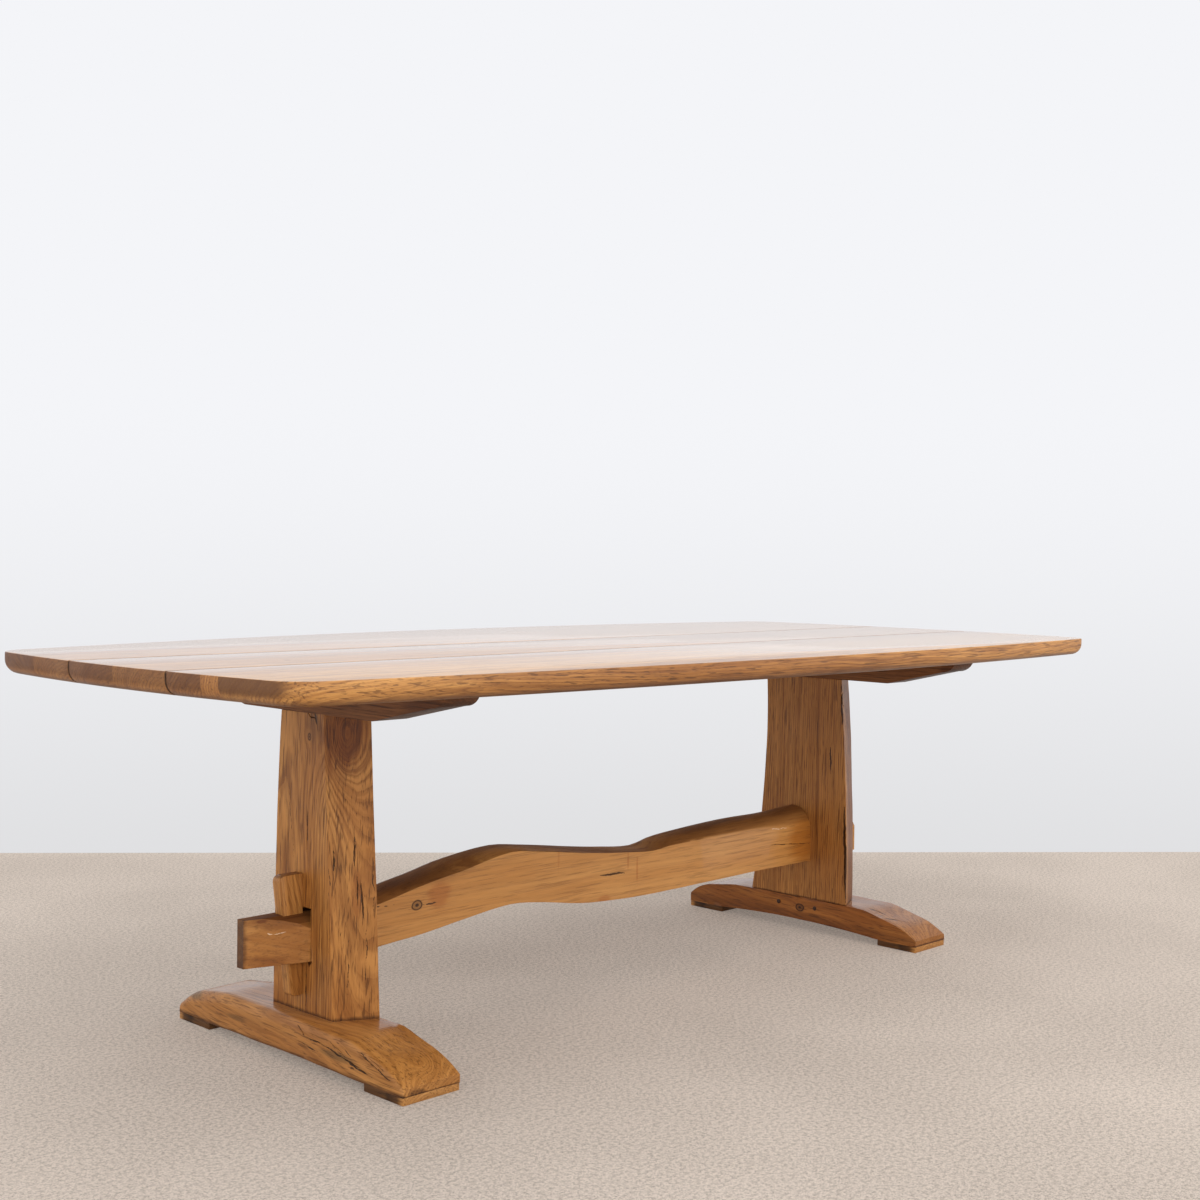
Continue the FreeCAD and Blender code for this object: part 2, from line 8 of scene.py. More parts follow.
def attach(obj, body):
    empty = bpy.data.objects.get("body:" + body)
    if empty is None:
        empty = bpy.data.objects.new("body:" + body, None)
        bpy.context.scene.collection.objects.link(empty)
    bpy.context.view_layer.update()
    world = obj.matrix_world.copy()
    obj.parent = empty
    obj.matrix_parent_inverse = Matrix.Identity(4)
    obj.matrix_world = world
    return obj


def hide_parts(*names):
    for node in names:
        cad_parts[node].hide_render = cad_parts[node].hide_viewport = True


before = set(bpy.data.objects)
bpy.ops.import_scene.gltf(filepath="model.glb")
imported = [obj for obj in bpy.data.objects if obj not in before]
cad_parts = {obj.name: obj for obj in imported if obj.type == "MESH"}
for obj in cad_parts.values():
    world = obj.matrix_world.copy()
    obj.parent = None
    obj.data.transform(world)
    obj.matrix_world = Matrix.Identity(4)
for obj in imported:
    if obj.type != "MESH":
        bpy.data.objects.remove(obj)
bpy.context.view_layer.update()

# --- View ---
# The table is seen from near its left end, a little above the top, by a camera that is
# tipped slightly to one side.
EYE = (-2.5555, -2.4716, 0.9428)
AZIMUTH, ELEVATION, ROLL = (math.radians(angle) for angle in (-45.763, 1.639, 0.871))
LENS, SENSOR = 48.29, 36.0

bpy.ops.object.select_all(action="DESELECT")
bpy.ops.object.camera_add()
camera = bpy.context.object
camera.name = "view"
camera.data.lens = LENS
camera.data.sensor_width = SENSOR
camera.matrix_world = (Matrix.Translation(EYE) @ Matrix.Rotation(AZIMUTH, 4, "Z")
                       @ Matrix.Rotation(math.pi / 2 - ELEVATION, 4, "X")
                       @ Matrix.Rotation(ROLL, 4, "Z"))
bpy.context.scene.camera = camera

# --- Floor ---
# A pale short-piled carpet under the table. It ends at the foot of the wall behind the
# table and fades away into the white room on the other sides. It also glows in its own
# colour: a painted fill light that lifts the shadow under the table.
FLOOR_PALE = (0.6, 0.524, 0.462, 1.0)
FLOOR_DEEP = (0.25, 0.21, 0.18, 1.0)
FLOOR_PAINTED_FILL_GLOW = 0.42
FLOOR_RADIUS = 5.0
FADE_START, FADE_END = 2.4, 4.6
WALL_WAY, WALL_DISTANCE = (0.654, 0.757, 0.0), 1.5


def both_ways(operation):
    """The methods that join a signal and another value by one sum, and the other way round."""
    return (lambda self, other: self.math(operation, self, other),
            lambda self, other: self.math(operation, other, self))


class Signal:
    """A socket in a material's node tree, so that shader maths reads as ordinary sums."""

    def __init__(self, tree, socket=None):
        self.tree = tree
        self.socket = socket

    def node(self, kind, settings, values, output=0):
        """A new node with its settings, then the values or links of its sockets."""
        made = self.tree.nodes.new(kind)
        for name, value in settings.items():
            setattr(made, name, value)
        for name, value in values.items():
            if isinstance(value, Signal):
                self.tree.links.new(value.socket, made.inputs[name])
            else:
                made.inputs[name].default_value = value
        return Signal(self.tree, made.outputs[output] if made.outputs else None)

    def math(self, operation, first, second=0.0):
        return self.node("ShaderNodeMath", {"operation": operation}, {0: first, 1: second})

    def __abs__(self):
        return self.math("ABSOLUTE", self)

    __add__, __radd__ = both_ways("ADD")
    __sub__, __rsub__ = both_ways("SUBTRACT")
    __mul__, __rmul__ = both_ways("MULTIPLY")
    __truediv__, __rtruediv__ = both_ways("DIVIDE")

    def fract(self):
        return self.math("FRACT", self)

    def clamp(self):
        return self.node("ShaderNodeMath", {"operation": "ADD", "use_clamp": True},
                         {0: self, 1: 0.0})

    def either(self, other):
        """The larger of the two at each point."""
        return self.math("MAXIMUM", self, other)

    def step(self, low, high):
        """A soft step from 0 at low to 1 at high, which may be the smaller number."""
        values = {"Value": self, "From Min": low, "From Max": high}
        return self.node("ShaderNodeMapRange", {"interpolation_type": "SMOOTHSTEP"}, values)

    def vector(self, operation, second=(0.0, 0.0, 0.0), output=0):
        return self.node("ShaderNodeVectorMath", {"operation": operation}, {0: self, 1: second},
                         output)

    def length(self):
        return self.vector("LENGTH", output=1)

    def noise(self, scale, detail=2.0, roughness=0.5, output=0):
        """Noise with its own number of turns per metre along each axis."""
        values = {"Vector": self.vector("MULTIPLY", scale), "Scale": 1.0, "Detail": detail,
                  "Roughness": roughness}
        return self.node("ShaderNodeTexNoise", {}, values, output)

    def jitter(self, scale, detail=2.0):
        """Noise as a vector whose parts lie about zero."""
        return self.noise(scale, detail, output=1).vector("SUBTRACT", (0.5, 0.5, 0.5))

    def mix(self, first, second, blend="MIX"):
        """One colour turned into another where this signal is 1."""
        values = {0: self, 6: first, 7: second}
        return self.node("ShaderNodeMix", {"data_type": "RGBA", "blend_type": blend}, values, 2)


def new_material(name):
    """An empty material, with the Object coordinates that it starts from."""
    material = bpy.data.materials.new(name)
    material.use_nodes = True
    material.node_tree.nodes.clear()
    blank = Signal(material.node_tree)
    return material, blank.node("ShaderNodeTexCoord", {}, {}, "Object")


def close_material(place, values, height, depth):
    """The shader with its values and a bump that is a given number of metres deep."""
    normal = place.node("ShaderNodeBump", {}, {"Height": height, "Distance": depth})
    surface = place.node("ShaderNodeBsdfPrincipled", {}, {**values, "Normal": normal})
    place.node("ShaderNodeOutputMaterial", {}, {"Surface": surface})


floor_material, place = new_material("carpet")
pile = place.noise((320.0, 320.0, 320.0), 3.0, 0.7)
tufts = place.noise((130.0, 130.0, 130.0), 2.0)
trodden = place.noise((1.6, 1.6, 1.6), 3.0)
shade = pile.step(0.34, 0.56) * 0.5 + tufts.step(0.33, 0.6) * 0.35 + trodden.step(0.3, 0.7) * 0.15
carpet = shade.mix(FLOOR_DEEP, FLOOR_PALE)
# The carpet's emission is a painted fill light that lightens the shade under the table.
close_material(place, {"Base Color": carpet, "Roughness": 0.95, "Specular IOR Level": 0.15,
                       "Emission Color": carpet, "Emission Strength": FLOOR_PAINTED_FILL_GLOW,
                       "Alpha": place.length().step(FADE_END, FADE_START)}, pile, 0.005)
bpy.ops.mesh.primitive_circle_add(vertices=96, radius=FLOOR_RADIUS, fill_type="NGON")
floor = bpy.context.object
floor.name = "floor"
bpy.ops.object.mode_set(mode="EDIT")
bpy.ops.mesh.select_all(action="SELECT")
bpy.ops.mesh.bisect(plane_co=[WALL_DISTANCE * part for part in WALL_WAY], plane_no=WALL_WAY,
                    clear_outer=True)
bpy.ops.object.mode_set(mode="OBJECT")
floor.data.materials.append(floor_material)

# --- Light ---
# Daylight from high windows in front of the table and over it, in a white room whose
# walls are brighter on the side that the light comes from.
UP = (0.0, 0.0, 1.0)
ROOM_LOW, ROOM_HIGH = (0.7, 0.7, 0.71, 1.0), (0.905, 0.912, 0.94, 1.0)
CEILING = (0.9, 0.89, 0.87, 1.0)
ROOM_BRIGHT = (1.3, 1.26, 1.21, 1.0)
BRIGHT_WAY = (-0.6, -0.8, 0.0)
WINDOWS = [
    ("front_window", (0.6, -3.6, 3.5), (0.0, -0.3, 0.2), 3.0, 60.0, (1.0, 0.98, 0.95)),
    ("high_window", (-0.9, -1.0, 4.6), (-0.4, -0.3, 0.0), 3.6, 30.0, (1.0, 1.0, 1.0)),
]

room = bpy.data.worlds.new("white_room")
room.use_nodes = True
room.node_tree.nodes.clear()
way = Signal(room.node_tree).node("ShaderNodeTexCoord", {}, {}, "Generated")
height = way.vector("DOT_PRODUCT", UP, 1)
walls = height.step(-0.3, 0.1).mix(ROOM_LOW, ROOM_HIGH)
walls = way.vector("DOT_PRODUCT", BRIGHT_WAY, 1).step(-0.2, 0.8).mix(walls, ROOM_BRIGHT)
walls = height.step(0.35, 0.9).mix(walls, CEILING)
light = way.node("ShaderNodeBackground", {}, {"Color": walls, "Strength": 1.0})
way.node("ShaderNodeOutputWorld", {}, {"Surface": light})
bpy.context.scene.world = room
for name, spot, aim, size, power, colour in WINDOWS:
    bpy.ops.object.light_add(type="AREA", location=spot)
    window = bpy.context.object
    window.name = name
    window.data.shape = "SQUARE"
    window.data.size = size
    window.data.energy = power
    window.data.color = colour
    window.rotation_euler = (Vector(spot) - Vector(aim)).to_track_quat("Z", "Y").to_euler()
bpy.context.scene.view_settings.view_transform = "Standard"

# --- Table top ---
# Seven oak boards, glued into three planks and laid side by side with two open joints.
# The whole is sawn to a boat shape, with its lower edge rounded well under, and oiled.
TOP_LENGTH, TOP_WIDTH, TOP_THICKNESS = 2.482, 1.194, 0.04
TABLE_HEIGHT = 0.75
END_BOW, SIDE_BOW = 0.045, 0.067
SIDE_CRESTS = {-1: 0.0, 1: 0.36}
CORNER_REACH = 0.047
UNDER_ROUND = 0.026
TOP_ARRIS = 0.0025
OPEN_GAP, PLANK_ARRIS = 0.0025, 0.0025
BOARD_SKEW = 0.085
BOARD_LINES = [("edge", 0.8), ("glued", 0.193), ("open", 0.056), ("glued", -0.089),
               ("open", -0.239), ("glued", -0.327), ("glued", -0.369), ("edge", -0.8)]
SMALL = 1e-4
TOP_COLUMNS, END_ROWS = 28, 12
# The straw tone that the level top is paled towards and that paints highlights along arrises,
# the grey of wear, and a level face's upward normal
STRAW_AND_GLINT, WORN_GREY = (0.9, 0.72, 0.52), (0.36, 0.29, 0.24)
LEVEL = (0.9, 0.99)
LENGTHWAYS = (0.0, math.pi / 2, 0.0)
SMOOTH_ANGLE = math.radians(40)


def sawn_block(name, low, high):
    """A new block between two corners, with its place in its mesh, in edit mode."""
    bpy.ops.object.select_all(action="DESELECT")
    middle = (Vector(low) + Vector(high)) / 2
    bpy.ops.mesh.primitive_cube_add(size=1.0, location=middle)
    piece = bpy.context.object
    piece.name = piece.data.name = name
    piece.scale = Vector(high) - Vector(low)
    bpy.ops.object.transform_apply(location=True, rotation=True, scale=True)
    bpy.ops.object.mode_set(mode="EDIT")
    return piece


def copied(piece, name):
    """A copy of a piece with its own mesh, in edit mode."""
    bpy.ops.object.select_all(action="DESELECT")
    piece.select_set(True)
    bpy.context.view_layer.objects.active = piece
    bpy.ops.object.duplicate()
    copy = bpy.context.object
    copy.name = copy.data.name = name
    bpy.ops.object.mode_set(mode="EDIT")
    return copy


def spot_of(part):
    """The middle of an edge or a face."""
    return sum((vert.co for vert in part.verts), Vector()) / len(part.verts)


def run_of(edge):
    """The direction of an edge, with its signs taken off."""
    run = (edge.verts[1].co - edge.verts[0].co).normalized()
    return Vector(abs(part) for part in run)


def pick(kind, test):
    """Select the vertices, edges or faces of the piece in hand that pass a test."""
    bpy.ops.mesh.select_mode(type={"verts": "VERT", "edges": "EDGE", "faces": "FACE"}[kind])
    bpy.ops.mesh.select_all(action="DESELECT")
    mesh = bpy.context.edit_object.data
    shape = bmesh.from_edit_mesh(mesh)
    for part in getattr(shape, kind):
        part.select_set(bool(test(part)))
    shape.select_flush_mode()
    bmesh.update_edit_mesh(mesh)


def at(**places):
    """A test for vertices that lie at given places along the axes."""
    return lambda vert: all(abs(getattr(vert.co, axis) - place) < SMALL
                            for axis, place in places.items())


def shift(test, move):
    """Move the vertices that pass a test."""
    pick("verts", test)
    bpy.ops.transform.translate(value=move)


def ease(size, segments, **more):
    """Bevel the edges that are picked."""
    bpy.ops.mesh.bevel(offset=size, offset_type="OFFSET", segments=segments, affect="EDGES", **more)


def cut_plane(spot, normal, clear=False):
    """Cut the piece in hand along a plane, and clear and close what lies ahead of it."""
    bpy.ops.mesh.select_all(action="SELECT")
    bpy.ops.mesh.bisect(plane_co=spot, plane_no=normal, use_fill=clear, clear_outer=clear)


def score(axis, places):
    """Cut the piece in hand across one axis at several places."""
    normal = [float(axis == number) for number in range(3)]
    for place in places:
        cut_plane([place * part for part in normal], normal)


def evenly(start, end, count):
    """Places that divide a length into a number of equal parts, without its ends."""
    return [start + (end - start) * number / count for number in range(1, count)]


def fall(half_chord, bow, away):
    """How far an arc that bows over half of its chord falls at a distance from its crest."""
    radius = (half_chord ** 2 + bow ** 2) / (2 * bow)
    return radius - math.sqrt(radius ** 2 - away ** 2)


def leave(piece, modifiers=()):
    """Leave edit mode, apply modifiers in turn and shade the piece."""
    bpy.ops.object.mode_set(mode="OBJECT")
    for kind, settings in modifiers:
        modifier = piece.modifiers.new(kind.lower(), kind)
        for name, value in settings.items():
            setattr(modifier, name, value)
        bpy.ops.object.modifier_apply(modifier=modifier.name)
    bpy.ops.object.shade_smooth_by_angle(angle=SMOOTH_ANGLE)


def tinted(tone, share=1.0):
    """A colour with its alpha, darkened to a share."""
    return (*(part * share for part in tone), 1.0)


def near_spot(place, spot, reaches, fray):
    """How far a place lies from a spot, in its reach along each axis, with a frayed edge."""
    return place.vector("SUBTRACT", spot).vector("DIVIDE", reaches).length() + fray


def oak(name, heart, turn, tones, ring=0.006, wave=0.01, lines=0.6, pores=0.7,
        gloss=(0.38, 0.58), coat=(0.2, 0.2), ends=0.6, worn_top=0.0, swells=(), knots=(),
        stains_and_shade=(), splits=(), top_paling=0.0, sheen=0.25):
    """Oak from a log whose heart passes through a point and is turned from upright.

    The coat is the polish on the sides and on the top, and the paling is how far the level
    top is paled towards straw. Swells bend the rings round hidden knots, knots show their dark
    cores, and the places that a tone darkens are real stains as well as painted shade and
    painted shadows. Splits are lines from one point to another, dark as a crack, or in a tone
    of their own as pale lines along worn arrises, painted as highlights. Faces turned down are
    darkened as painted shade.
    """
    material, place = new_material(name)
    pale, warm, dark = tones
    log = place.node("ShaderNodeMapping", {"vector_type": "TEXTURE"},
                     {"Vector": place, "Location": heart, "Rotation": turn})
    bent = log
    for scale, detail, sway in (((2.4, 2.4, 1.1), 2.0, wave * 9),
                                ((26.0, 26.0, 9.0), 3.0, wave * 0.7)):
        bent = bent.vector("ADD", log.jitter(scale, detail).vector("MULTIPLY", (sway, sway, 0.0)))
    radius = bent.vector("MULTIPLY", (1.0, 1.0, 0.0)).length()
    fray = log.noise((90.0, 90.0, 9.0), 3.0) - 0.5
    for spot, reaches, rise in swells:
        away = near_spot(place, spot, reaches, fray * 0.15)
        radius = radius + rise / (1.0 + away * away)
    cores = []
    for spot, size, stretch in knots:
        away = near_spot(place, spot, [size / part for part in stretch], fray * 0.5)
        radius = radius + size * 1.4 / (1.0 + away * away * 0.5)
        heartwood = away.step(1.0, 0.7) * 0.45
        cores.append(heartwood.either(away.step(0.5, 0.2)).either(abs(away - 0.9).step(0.3, 0.0)))
    drift = log.noise((7.0, 7.0, 0.5), 1.0)
    phase = (radius / ring + drift * 3.0).fract()
    early = phase.step(0.5, 0.0)
    late = phase.step(0.6, 1.0)
    depth = log.noise((30.0, 30.0, 1.8), 2.0).step(0.3, 0.7)
    grain = (early * 0.9 + late * 0.35) * (0.3 + 0.7 * depth)
    layer = place.node("ShaderNodeCombineXYZ", {}, {"X": radius})
    layer = layer.vector("ADD", bent.vector("MULTIPLY", (0.0, 0.15, 1.0)))
    strand = layer.noise((125.0, 125.0, 3.0), 3.0, 0.6).step(0.47, 0.67)
    pore = log.noise((520.0, 520.0, 15.0), 2.0, 0.6).step(0.53, 0.68) * (0.3 + 0.7 * early)
    dash = log.noise((300.0, 300.0, 11.0), 2.0).step(0.57, 0.65)
    streak = layer.noise((40.0, 40.0, 1.0), 3.0).step(0.33, 0.67)
    fine = layer.noise((360.0, 360.0, 6.0), 2.0).step(0.44, 0.58)
    patch = place.noise((3.4, 3.4, 3.4), 3.0).step(0.33, 0.67)
    colour = (streak * 0.6 + patch * 0.4).mix(tinted(pale), tinted(warm))
    colour = (grain * lines).either(strand * (lines * 0.85)).mix(colour, tinted(dark))
    colour = (fine * (lines * 0.4)).mix(colour, tinted(dark, 1.3))
    colour = (pore * pores).either(dash * (pores * 0.8)).mix(colour, tinted(dark, 0.5))
    along = Euler(turn).to_matrix().col[2]
    facing = place.node("ShaderNodeNewGeometry", {}, {}, "Normal")
    end = abs(facing.vector("DOT_PRODUCT", along, 1)).step(0.7, 0.97)
    colour = (end * ends).mix(colour, tinted(dark, 0.55))
    upward = facing.vector("DOT_PRODUCT", UP, 1)
    # Faces turned down are darkened: painted shade under things.
    colour = (upward.step(-0.5, -0.95) * 0.7).mix(colour, tinted(dark, 0.5))
    # Level faces are paled towards straw by the given share.
    if top_paling:
        colour = (upward.step(*LEVEL) * top_paling).mix(colour, tinted(STRAW_AND_GLINT))
    worn = upward.step(0.3, 0.8) * worn_top
    greyed = worn * (0.5 + 0.5 * strand.either(streak))
    colour = greyed.mix(colour, tinted(WORN_GREY), "MULTIPLY")
    # Each of these darkens a place: real stains, and also painted shade and painted shadows.
    for spot, reaches, tone, share in stains_and_shade:
        darkening = near_spot(place, spot, reaches, fray * 0.7).step(1.05, 0.45) * share
        colour = darkening.mix(colour, tinted(tone), "MULTIPLY")
    for core in cores:
        colour = core.mix(colour, tinted(dark, 0.2))
    cloud = place.noise((16.0, 16.0, 16.0), 3.0)
    roughness = gloss[0] + (gloss[1] - gloss[0]) * cloud + pore * 0.12 + end * 0.08 + worn * 0.4
    polish = coat[0] + (coat[1] - coat[0]) * upward.step(*LEVEL)
    height = 1.0 - pore * 0.5 - early * 0.2 - dash * 0.35 - strand * 0.25 - fine * 0.15
    if splits:
        jitter = place.jitter((45.0, 45.0, 45.0), 3.0)
        ragged = place.vector("ADD", jitter.vector("MULTIPLY", (0.011, 0.011, 0.011)))
        for start, stop, width, *tone in splits:
            run = Vector(stop) - Vector(start)
            share = ragged.vector("SUBTRACT", start)
            share = share.vector("DOT_PRODUCT", run / run.length_squared, 1).clamp()
            foot = place.node("ShaderNodeVectorMath", {"operation": "SCALE"}, {0: run, 3: share})
            away = ragged.vector("SUBTRACT", start).vector("SUBTRACT", foot).length()
            open_wide = (0.25 + share * (1.0 - share) * 3.0) * width
            crack = (away / open_wide).step(1.0, 0.5)
            # A split in a tone of its own is a pale line along a worn arris, painted as a
            # highlight.
            if tone:
                colour = (crack * 0.8).mix(colour, tinted(tone[0]))
            else:
                colour = (crack * 0.9).mix(colour, tinted(dark, 0.18))
                height = height - crack
    close_material(place, {"Base Color": colour, "Roughness": roughness, "Coat Weight": polish,
                           "Coat Roughness": 0.13, "Coat IOR": 1.6, "Specular IOR Level": sheen},
                   height, 0.0005)
    return material


HONEY = ((0.62, 0.292, 0.08), (0.47, 0.192, 0.043), (0.19, 0.06, 0.01))
AMBER = ((0.51, 0.222, 0.056), (0.38, 0.142, 0.03), (0.15, 0.045, 0.008))
UMBER = ((0.26, 0.104, 0.032), (0.18, 0.064, 0.018), (0.075, 0.023, 0.006))
GOLDEN = ((0.71, 0.36, 0.105), (0.58, 0.265, 0.064), (0.22, 0.075, 0.014))
JOINT_GRIME = ((0.11, 0.048, 0.02), (0.08, 0.034, 0.013), (0.036, 0.014, 0.005))
# Painted shade along the top's near edge, where its rounding turns under.
EDGE_PAINTED_SHADE = ((-0.35, -0.59, 0.725), (0.9, 0.08, 0.06), (0.6, 0.5, 0.4), 0.85)
# For each board: its heart's distance below the top and its place across, its tones, how
# dark its ends are, and its pin knots
BOARD_OAK = [
    (0.18, 0.42, AMBER, 0.7, [(-0.902, 0.294), (-0.765, 0.37)]),
    (0.12, 0.1, HONEY, 0.62, [(-0.361, 0.134)]),
    (0.16, -0.02, AMBER, 0.66, [(-1.161, -0.012), (-0.601, -0.001)]),
    (0.13, -0.18, HONEY, 0.58, [(-0.93, -0.131)]),
    (0.15, -0.3, AMBER, 0.66, []),
    (0.05, -0.35, HONEY, 0.1, []),
    (0.17, -0.46, GOLDEN, 0.88, [])]

reach_x = TOP_LENGTH / 2 - END_BOW
reach_y = TOP_WIDTH / 2 - SIDE_BOW
slab = sawn_block("slab", (-reach_x, -reach_y, TABLE_HEIGHT - TOP_THICKNESS),
                  (reach_x, reach_y, TABLE_HEIGHT))
columns = evenly(-reach_x, reach_x, TOP_COLUMNS)
score(0, columns)
corners = []
for side, crest in SIDE_CRESTS.items():
    for x in (-reach_x, *columns, reach_x):
        y = side * (TOP_WIDTH / 2 - fall(reach_x - crest, SIDE_BOW, x - crest))
        shift(at(x=x, y=side * reach_y), (0.0, y - side * reach_y, 0.0))
        if abs(x) == reach_x:
            corners.append((x, y))
pick("edges", lambda edge: run_of(edge).y > 0.99 and abs(spot_of(edge).x) > reach_x - SMALL)
bpy.ops.mesh.subdivide(number_cuts=END_ROWS - 1)
for end in (-1, 1):
    near, far = sorted(y for x, y in corners if x * end > 0)
    for y in (near, *evenly(near, far, END_ROWS), far):
        x = end * (TOP_LENGTH / 2 - fall(reach_y, END_BOW, y))
        shift(at(x=end * reach_x, y=y), (x - end * reach_x, 0.0, 0.0))
pick("edges", lambda edge: run_of(edge).z > 0.99 and any(
    abs(spot_of(edge).y - y) < SMALL and abs(spot_of(edge).x - x) < SIDE_BOW for x, y in corners))
bpy.ops.mesh.bevel(offset=CORNER_REACH, offset_type="ABSOLUTE", segments=8, affect="EDGES")
pick("faces", lambda face: abs(face.normal.z) > 0.99)
bpy.ops.mesh.dissolve_faces()
for height, size, steps in ((TABLE_HEIGHT - TOP_THICKNESS, UNDER_ROUND, 7),
                            (TABLE_HEIGHT, TOP_ARRIS, 2)):
    pick("edges", lambda edge: all(map(at(z=height), edge.verts)))
    ease(size, steps)
leave(slab)

joint_grime = oak("joint_grime", (0.0, 0.0, 0.6), LENGTHWAYS, JOINT_GRIME)
across = Vector((-BOARD_SKEW / TOP_LENGTH, 1.0, 0.0)).normalized()
skew = math.atan(BOARD_SKEW / TOP_LENGTH)
for number, (high, low) in enumerate(zip(BOARD_LINES, BOARD_LINES[1:]), start=1):
    board = copied(slab, f"oiled_board_{number}")
    for (kind, y), sign in ((high, 1), (low, -1)):
        inset = OPEN_GAP / 2 if kind == "open" else 0.0
        spot = Vector((-TOP_LENGTH / 2, y - sign * inset, 0.0))
        cut_plane(spot, sign * across, clear=True)
        if kind == "open":
            pick("edges", lambda edge: all(abs((vert.co - spot).dot(across)) < SMALL
                                           for vert in edge.verts))
            ease(PLANK_ARRIS, 3)
    leave(board)
    down, y, tones, ends, pins = BOARD_OAK[number - 1]
    joints = [Vector((-TOP_LENGTH / 2, y, 0.0)) for kind, y in (high, low) if kind == "open"]
    for face in board.data.polygons:
        face.material_index = int(abs(face.normal.dot(across)) > 0.5 and any(
            abs((face.center - spot).dot(across)) < OPEN_GAP + PLANK_ARRIS for spot in joints))
    board.data.materials.append(oak(
        f"board_oak_{number}", (0.4 * number, y, TABLE_HEIGHT - down), (0.0, math.pi / 2, skew),
        tones, lines=0.75, pores=0.8, coat=(0.05, 1.0), ends=ends, top_paling=0.2, sheen=0.5,
        stains_and_shade=[EDGE_PAINTED_SHADE],
        knots=[((*pin, TABLE_HEIGHT), 0.006, (1.0, 1.0, 1.0)) for pin in pins]))
    board.data.materials.append(joint_grime)
    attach(board, "table")
    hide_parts(f"top_board_{number}")
bpy.data.objects.remove(slab)

# --- Cleats ---
# A bearer of sawn oak under the top at each end, with the leg tenoned into it. It is
# level over the leg and tapers up to a rounded nose at both ends.
CLEAT_X, CLEAT_WIDTH = 0.758, 0.08
CLEAT_REACHES = {"left": {-1: 0.402, 1: 0.4}, "right": {-1: 0.448, 1: 0.448}}
CLEAT_LEVELS = {"left": 0.2, "right": 0.258}
CLEAT_SHADOW_FROM = {"left": 0.275, "right": 0.395}
CLEAT_DEPTH, NOSE_DEPTH, NOSE_RUN, NOSE_END = 0.07, 0.034, 0.038, 0.0046
CLEAT_ARRIS = 0.0008
UNDERSIDE = TABLE_HEIGHT - TOP_THICKNESS
SIDES = {"left": -1, "right": 1}


def worn_arrises(width, segments=2, sharp=40.0):
    """A bevel over every arris that turns by more than an angle."""
    return "BEVEL", {"width": width, "segments": segments, "limit_method": "ANGLE",
                     "angle_limit": math.radians(sharp)}


for side, sign in SIDES.items():
    middle = sign * CLEAT_X
    level, reaches = CLEAT_LEVELS[side], CLEAT_REACHES[side]
    cleat = sawn_block(f"sawn_{side}_cleat",
                       (middle - CLEAT_WIDTH / 2, -reaches[-1], UNDERSIDE - CLEAT_DEPTH),
                       (middle + CLEAT_WIDTH / 2, reaches[1], UNDERSIDE))
    for end, reach in reaches.items():
        turn = reach - NOSE_RUN
        stations = [((level + turn) / 2, (CLEAT_DEPTH + NOSE_DEPTH) / 2), (turn, NOSE_DEPTH)]
        for angle in evenly(0.0, math.pi / 2, 7):
            stations.append((turn + NOSE_RUN * math.sin(angle), NOSE_DEPTH * math.cos(angle)))
        score(1, [end * level] + [end * y for y, _ in stations])
        for y, depth in stations + [(reach, NOSE_END)]:
            shift(lambda vert: abs(vert.co.y - end * y) < SMALL and vert.co.z < UNDERSIDE - SMALL,
                  (0.0, 0.0, CLEAT_DEPTH - depth))
    leave(cleat, [worn_arrises(CLEAT_ARRIS)])
    # From a set point out to its near nose each cleat is darkened: a painted shadow of the top.
    shadow_half = (reaches[-1] - CLEAT_SHADOW_FROM[side]) / 2 + 0.01
    cleat.data.materials.append(oak(
        f"{side}_cleat_oak", (middle - 0.05, 0.0, 0.6), (math.pi / 2, 0.0, 0.0), UMBER,
        coat=(0.0, 0.0),
        stains_and_shade=[((middle, -CLEAT_SHADOW_FROM[side] - shadow_half, UNDERSIDE), (0.2, shadow_half, 0.2),
                 (0.62, 0.54, 0.5), 0.9)]))
    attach(cleat, "table")
    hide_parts(f"{side}_cleat")

# --- Legs ---
# A thick oak slab at each end, flared towards the foot and bevelled from its wide inner
# face to its narrower outer face. It is tenoned into the foot and into the cleat.
LEG_INNER, LEG_OUTER, LEG_BEVEL = 0.718, 0.798, 0.037
LEG_HEIGHTS = (0.08, 0.36, 0.64)
LEG_EDGES = {"left": {1: (0.131, 0.126, 0.113), -1: (0.131, 0.114, 0.094)},
             "right": {1: (0.148, 0.114, 0.109), -1: (0.15, 0.143, 0.124)}}
LEG_SLICES, LEG_COLUMNS, LEG_LAYERS = 28, 14, 4
SAWN_HALF, OVERSHOOT = 0.1, 0.02
MORTISE_LOW, MORTISE_HIGH = (-0.0244, 0.178), (0.0324, 0.277)
DEEP_GOLD = ((0.56, 0.255, 0.068), (0.43, 0.175, 0.04), (0.165, 0.052, 0.009))
OUTER_WAY, BEVEL_WAY, INNER_WAY = (1.0, 0.0, 0.0), (0.41, 0.91, 0.0), (0.9, 0.4, 0.0)
